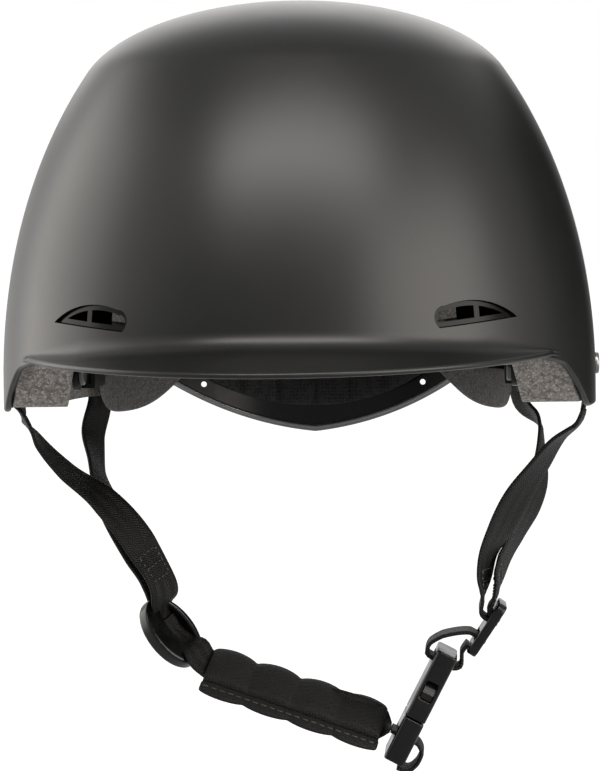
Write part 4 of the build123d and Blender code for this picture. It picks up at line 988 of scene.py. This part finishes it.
def comfortGrid(start, sweep, low, high, reach, channels):
    # rows follow the bearing, columns go round the section: flat to the liner, crowned to the head,
    # drawn in at the sewn channels and closed at the ends
    p = padSettings
    s = np.linspace(0, 1, int(sweep * p["rowsPerDegree"]))[:, None]
    a = circle(p["columns"])
    ends = fadeOut(2 * s - 1, p["closing"])
    seams = np.ones_like(s)
    for k in range(channels):
        seams = seams - p["seam"] * dip((s - (k + 1) / (channels + 1)) * sweep, p["seamWidth"])
    middle, half = (low + high) / 2, (high - low) / 2
    z = middle + power(np.cos(a), 0.55) * half * (0.25 + 0.75 * ends) * (0.96 + 0.04 * seams)
    depth = (0.5 - 0.5 * power(np.sin(a), 0.6)) * p["thickness"] * (0.12 + 0.88 * ends) * seams
    depth = depth * p["full"] + p["clear"]
    bearing = np.radians(start + sweep * (0.01 + 0.98 * s)) + 0 * a
    stretch = (reach - padInset) / (domeSettings["halfWidth"] - padInset)
    out = domeWidth(padInset, z) - depth
    held = (depth < 0.35) | (seams < 0.6) | (ends < 0.3)
    return np.stack([out * np.cos(bearing), out * np.sin(bearing) * stretch, z], axis=-1), held


for name, settings in comfortPads.items():
    pad = coverPad(name, *comfortGrid(*settings), 4.0, 1.2)

# pad under the crown: a disc of six petals that follows the liner's cap
crownSettings = {"radius": 31.52, "petals": 6, "pinch": 0.35, "seamWidth": 0.06, "plain": 12}
c, d, p = crownSettings, domeSettings, padSettings
capShare = 1 - (d["crown"] - d["shoulder"]) / d["capRise"]
capWidth = float(domeWidth(padInset, d["shoulder"] - padInset)) / sqrt(1 - capShare**2)
s = np.linspace(0.04, 0.96, 26)[:, None]
a = circle(72)
out = np.sin(s * pi) ** 0.55 * c["radius"]
thick = 0.5 - 0.5 * power(np.cos(s * pi), 0.55)
sink = d["capRise"] * (1 - np.sqrt(1 - (out / capWidth) ** 2))
seam = dip(np.abs((a * c["petals"] / (2 * pi)) % 1 - 0.5), c["seamWidth"])
petals = 1 - c["pinch"] * seam * np.clip(out / c["plain"], 0, 1)
z = d["crown"] - padInset - sink - p["clear"] - thick * p["thickness"] * p["full"] * petals
grid = np.stack([out * np.cos(a), out * np.sin(a), z + 0 * a], axis=-1)
crown = coverPad("crown_pad", grid, (thick + 0 * a < 0.05) | (petals + 0 * thick < 0.8), 4.0, 1.0)


def lowerArc(c, count):
    # half of the cradle's lower edge: an arc from the middle up to the corner, sagging below its chord
    (x, z), low, share = c["corner"], c["low"], c["arc"]
    return arcThrough((0, low), (x * share, low + (z - low) * share - c["sag"]), (x, z), count)


# pad inside the cradle's band: follows the band in plan, its lower edge an arc up to each corner
cradlePadSettings = {
    "low": -5.8, "corner": (46.5, 9.0), "end": 48.5, "endHeight": 11.0, "high": 16.0, "half": 78.0, "back": 95.1,
    "bend": 20.0, "thickness": 3.2, "seams": (-30, -15, 0, 15, 30), "seamWidth": 1.3, "arc": 0.6, "sag": 4.0,
}
c = cradlePadSettings
lowArc = lowerArc(c, 40)
x = np.linspace(-c["end"], c["end"], 90)[:, None]
a = circle(24)
lowEdge = np.interp(np.abs(x), np.append(lowArc[:, 0], c["end"]), np.append(lowArc[:, 1], c["endHeight"]))
ends = fadeOut(x / c["end"], 16)
seams = 1 - 0.5 * sum(dip(x - at, c["seamWidth"]) for at in c["seams"])
middle, half = (lowEdge + c["high"]) / 2, (c["high"] - lowEdge) / 2
z = middle + power(np.cos(a), 0.5) * half * (0.4 + 0.6 * ends) * 0.97
depth = 0.15 + (0.5 - 0.5 * power(np.sin(a), 0.6)) * c["thickness"] * (0.25 + 0.75 * ends) * seams * 0.85
turn = np.arcsin(x / c["half"])
wide, deep = c["half"] - depth, c["back"] - c["bend"] - depth
grid = np.stack([wide * np.sin(turn), c["bend"] + deep * np.cos(turn), z + 0 * x], axis=-1)
held = (depth < 0.3) | (seams + 0 * a < 0.75)
cradlePad = coverPad("cradle_pad", grid, held, 3.0, 0.6, body="cradle")

# lip along the lower edge of the cradle's band: two beads, one at the band's inner face and a lower one at its
# middle; they are coloured light grey, far lighter than the cradle's black plastic, as a painted highlight where
# their rounded tops catch the light
beadSettings = {
    "corner": (55.5, 6.3), "low": -14.6, "sag": 4.0, "arc": 0.6, "bend": 20.0,
    # half width, back, lift and radius of each bead
    "beads": ((78.0, 95.4, 0.5, 0.8), (79.4, 96.8, -0.5, 0.9)),
}
b = beadSettings
lowArc = lowerArc(b, 60)
x = np.concatenate([-lowArc[::-1, 0], lowArc[1:, 0]])
low = np.concatenate([lowArc[::-1, 1], lowArc[1:, 1]])
a = circle(14)[..., None]
for number, (half, back, lift, radius) in enumerate(b["beads"]):
    line = np.stack([x, b["bend"] + (back - b["bend"]) * np.cos(np.arcsin(x / half)), low + lift], axis=1)
    along = unit(np.gradient(line, axis=0))
    side = unit(np.cross(along, [0, 0, 1.0]))
    up = np.cross(side, along)
    grid = line[:, None] + radius * (side[:, None] * np.cos(a) + up[:, None] * np.sin(a))
    surfacePiece("cradle_lip_" + ("inner", "outer")[number], grid, "lipPaintedHighlight", body="cradle")

# wings of the cradle: where the band turns forwards, a thin lobe hangs below it on each side; its lower edge is a
# height for each bearing, from the rear to the side
wingSettings = {
    "half": 76.9, "back": 94.3, "bend": 20.0, "high": 10.5, "thickness": 1.3,
    "edge": ((40.5, 8.0), (47, 1.8), (54, -2.6), (60, -4.2), (66, -4.6), (73, -4.1), (79, -1.4), (84, 5.5)),
}
w = wingSettings
edge = np.array(w["edge"], dtype=float)
bearing = np.linspace(edge[0, 0], edge[-1, 0], 72)[:, None]
low = np.polyval(np.polyfit(edge[:, 0], edge[:, 1], 5), bearing)
a = circle(28)
turn = np.radians(bearing)
middle, half = (low + w["high"]) / 2, (w["high"] - low) / 2
z = middle + power(np.cos(a), 0.5) * half
inwards = w["thickness"] / 2 * power(np.sin(a), 0.7) + 0 * bearing
for side, hand in ((1, "left"), (-1, "right")):
    grid = np.stack([
        side * (w["half"] - inwards) * np.sin(turn), w["bend"] + (w["back"] - w["bend"] - inwards) * np.cos(turn), z
    ], axis=-1)
    surfacePiece("cradle_wing_" + hand, grid, "wingPlastic", body="cradle", sharp=60)


def onPad(share, x, y):
    return padStart + padAlong * (share[..., None] * padLength) + padWide * x[..., None] + padDeep * y[..., None]


def sleeveGrid(c):
    # the sleeve: rows go along the outside, turn in at the end and come back along the channel that holds the
    # webbing; its section is a crowned outline that is drawn in at each seam, fullest on the upper edge
    columns = 44
    a = circle(columns)
    s = np.linspace(0, 1, 73)[:, None]
    puff = np.abs(np.sin(s * pi * c["puffs"])) ** 0.7
    swell = c["pinch"] + (1 - c["pinch"]) * puff
    mouth = np.clip(np.minimum(s, 1 - s) / 0.02, 0, 1) ** 0.5
    half, edge = c["width"] / 2, c["edge"] * c["thickness"]
    low, high = -half * (0.97 + 0.03 * swell), (half * swell + edge) * (0.93 + 0.07 * mouth)
    x = (low + high) / 2 + (high - low) / 2 * power(np.cos(a), 0.72)
    y = c["thickness"] / 2 * swell * (0.72 + 0.28 * mouth) * power(np.sin(a), 0.8) * 0.94
    outside = onPad(s, x, y)
    back = np.array([0.985, 0.93, 0.5, 0.07, 0.015])[:, None]
    channelX, channelY = 7.9 * power(np.cos(a), 0.3), 1.1 * power(np.sin(a), 0.3)
    inside = onPad(back, channelX, channelY)
    held = np.vstack([np.repeat(puff < 0.35, columns, axis=1), np.ones((5, columns), dtype=bool)])
    return np.vstack([outside, inside]), held


grid, held = sleeveGrid(chinSettings)
sleeve = surfacePiece(
    "chin_pad_sleeve", grid, "chinFabric", loop=True, sharp=0, replaces=("chin_pad",)
)
puffUp(sleeve, held.reshape(-1), 4.0, 0.9)

# flap that closes the sleeve along its lower edge: a flat strip with one scallop below each puff
c = chinSettings
s = np.linspace(0, 1, 81)[:, None]
a = circle(26)
reachOut = c["flap"] + c["scallop"] * np.abs(np.sin(s * pi * c["puffs"])) ** 0.8
ends = fadeOut(2 * s - 1, 30)
x = -c["width"] / 2 - 0.1 - reachOut * (0.5 - 0.5 * power(np.cos(a), 0.6))
drawnIn = 1 - 0.25 * (1 - np.abs(np.sin(s * pi * c["puffs"]))) ** 4
y = c["flapThickness"] / 2 * power(np.sin(a), 0.6) * (0.35 + 0.65 * ends) * drawnIn
flap = surfacePiece("chin_flap", onPad(s, x, y), "chinFabric", sharp=0, replaces=("chin_pad_flap",))
divide(flap)
print("pads are filled")


def stitchPiece(name, lines, length, gap, radius):
    # short rounded threads along lines on a surface: each has rings of six points and two tips, laid along its line
    centres, ways = [], []
    for line in lines:
        line = np.array(line, dtype=float)
        steps = arcSteps(line)
        at = np.arange(length / 2, steps[-1] - length / 2 + 0.01, length + gap)
        ahead, behind = (
            np.stack([np.interp(at + away, steps, line[:, k]) for k in range(3)], axis=1)
            for away in (length / 2, -length / 2)
        )
        centres.append((ahead + behind) / 2)
        ways.append(unit(ahead - behind))
    centres, ways = np.vstack(centres), np.vstack(ways)
    helper = np.where(np.abs(ways[:, 2:]) < 0.9, [[0, 0, 1.0]], [[1.0, 0, 0]])
    side = unit(np.cross(ways, helper))
    up = np.cross(ways, side)
    rings = [(-0.42, 0.75), (-0.15, 1.0), (0.15, 1.0), (0.42, 0.75)]
    shape = [(t * length, r * radius * cos(k), r * radius * sin(k)) for t, r in rings for k in circle(6)[0]]
    shape = np.array(shape + [(-length / 2, 0, 0), (length / 2, 0, 0)])
    points = (
        centres[:, None] + ways[:, None] * shape[None, :, :1]
        + side[:, None] * shape[None, :, 1:2] + up[:, None] * shape[None, :, 2:]
    )
    c, n = np.arange(6), (np.arange(6) + 1) % 6
    faces = np.vstack([np.stack([r * 6 + c, r * 6 + n, (r + 1) * 6 + n, (r + 1) * 6 + c], axis=1) for r in range(3)])
    tips = np.vstack([np.stack([n, c, c * 0 + 24], axis=1), np.stack([18 + c, 18 + n, c * 0 + 25], axis=1)])
    a, b, d = (shape[faces[:, k]] for k in range(3))
    if np.einsum("ij,ij->i", a, np.cross(b, d)).sum() < 0:
        faces, tips = faces[:, ::-1], tips[:, ::-1]
    starts = np.arange(len(centres))[:, None, None] * 26
    mesh = bpy.data.meshes.new(name)
    mesh.from_pydata(
        (points.reshape(-1, 3) * millimetre).tolist(), [],
        (faces[None] + starts).reshape(-1, 4).tolist() + (tips[None] + starts).reshape(-1, 3).tolist(),
    )
    shadeSmooth(mesh)
    placePiece(newObject(name, mesh), "thread", "helmet", ())


s = np.linspace(0.015, 0.985, 60)
flapLines = [
    onPad(s, 0 * s - c["width"] / 2 - 3.0, 0 * s + (c["flapThickness"] / 2 + 0.02) * side) for side in (1, -1)
]
stitchPiece("flap_stitches", flapLines, 2.2, 1.0, 0.28)


def tapeLines(name, fromEnd, length, spread=4.6):
    # a sewn box with a bar across its middle, on both faces of a webbing, at a distance from its end
    points, across, normal, t = tapeFrames[name]
    lift = webbingSettings["thickness"] / 2 + 0.1
    lines = []

    def onTape(at, out, face):
        place, wide, away = (
            np.array([np.interp(at, t, part[:, k]) for k in range(3)]) for part in (points, across, normal)
        )
        return place + wide * out + away * face * lift

    start, stop = t[-1] - fromEnd - length, t[-1] - fromEnd
    for face in (1, -1):
        for out in (-spread, spread):
            lines.append([onTape(at, out, face) for at in np.linspace(start, stop, 12)])
        for at in (start, (start + stop) / 2, stop):
            lines.append([onTape(at, out, face) for out in np.linspace(-spread, spread, 8)])
    return lines


# for each strap, how far the sewn box is from its end, and how long it is
sewnBoxes = {
    "front_strap_left": (14.0, 9.0), "rear_strap_left": (13.0, 9.0), "front_strap_right": (30.0, 10.0),
    "rear_strap_right": (24.0, 9.0),
}
boxLines = [line for name, box in sewnBoxes.items() for line in tapeLines(name + "_webbing", *box)]
stitchPiece("webbing_stitches", boxLines, 1.6, 0.7, 0.24)
print("stitches are sewn")
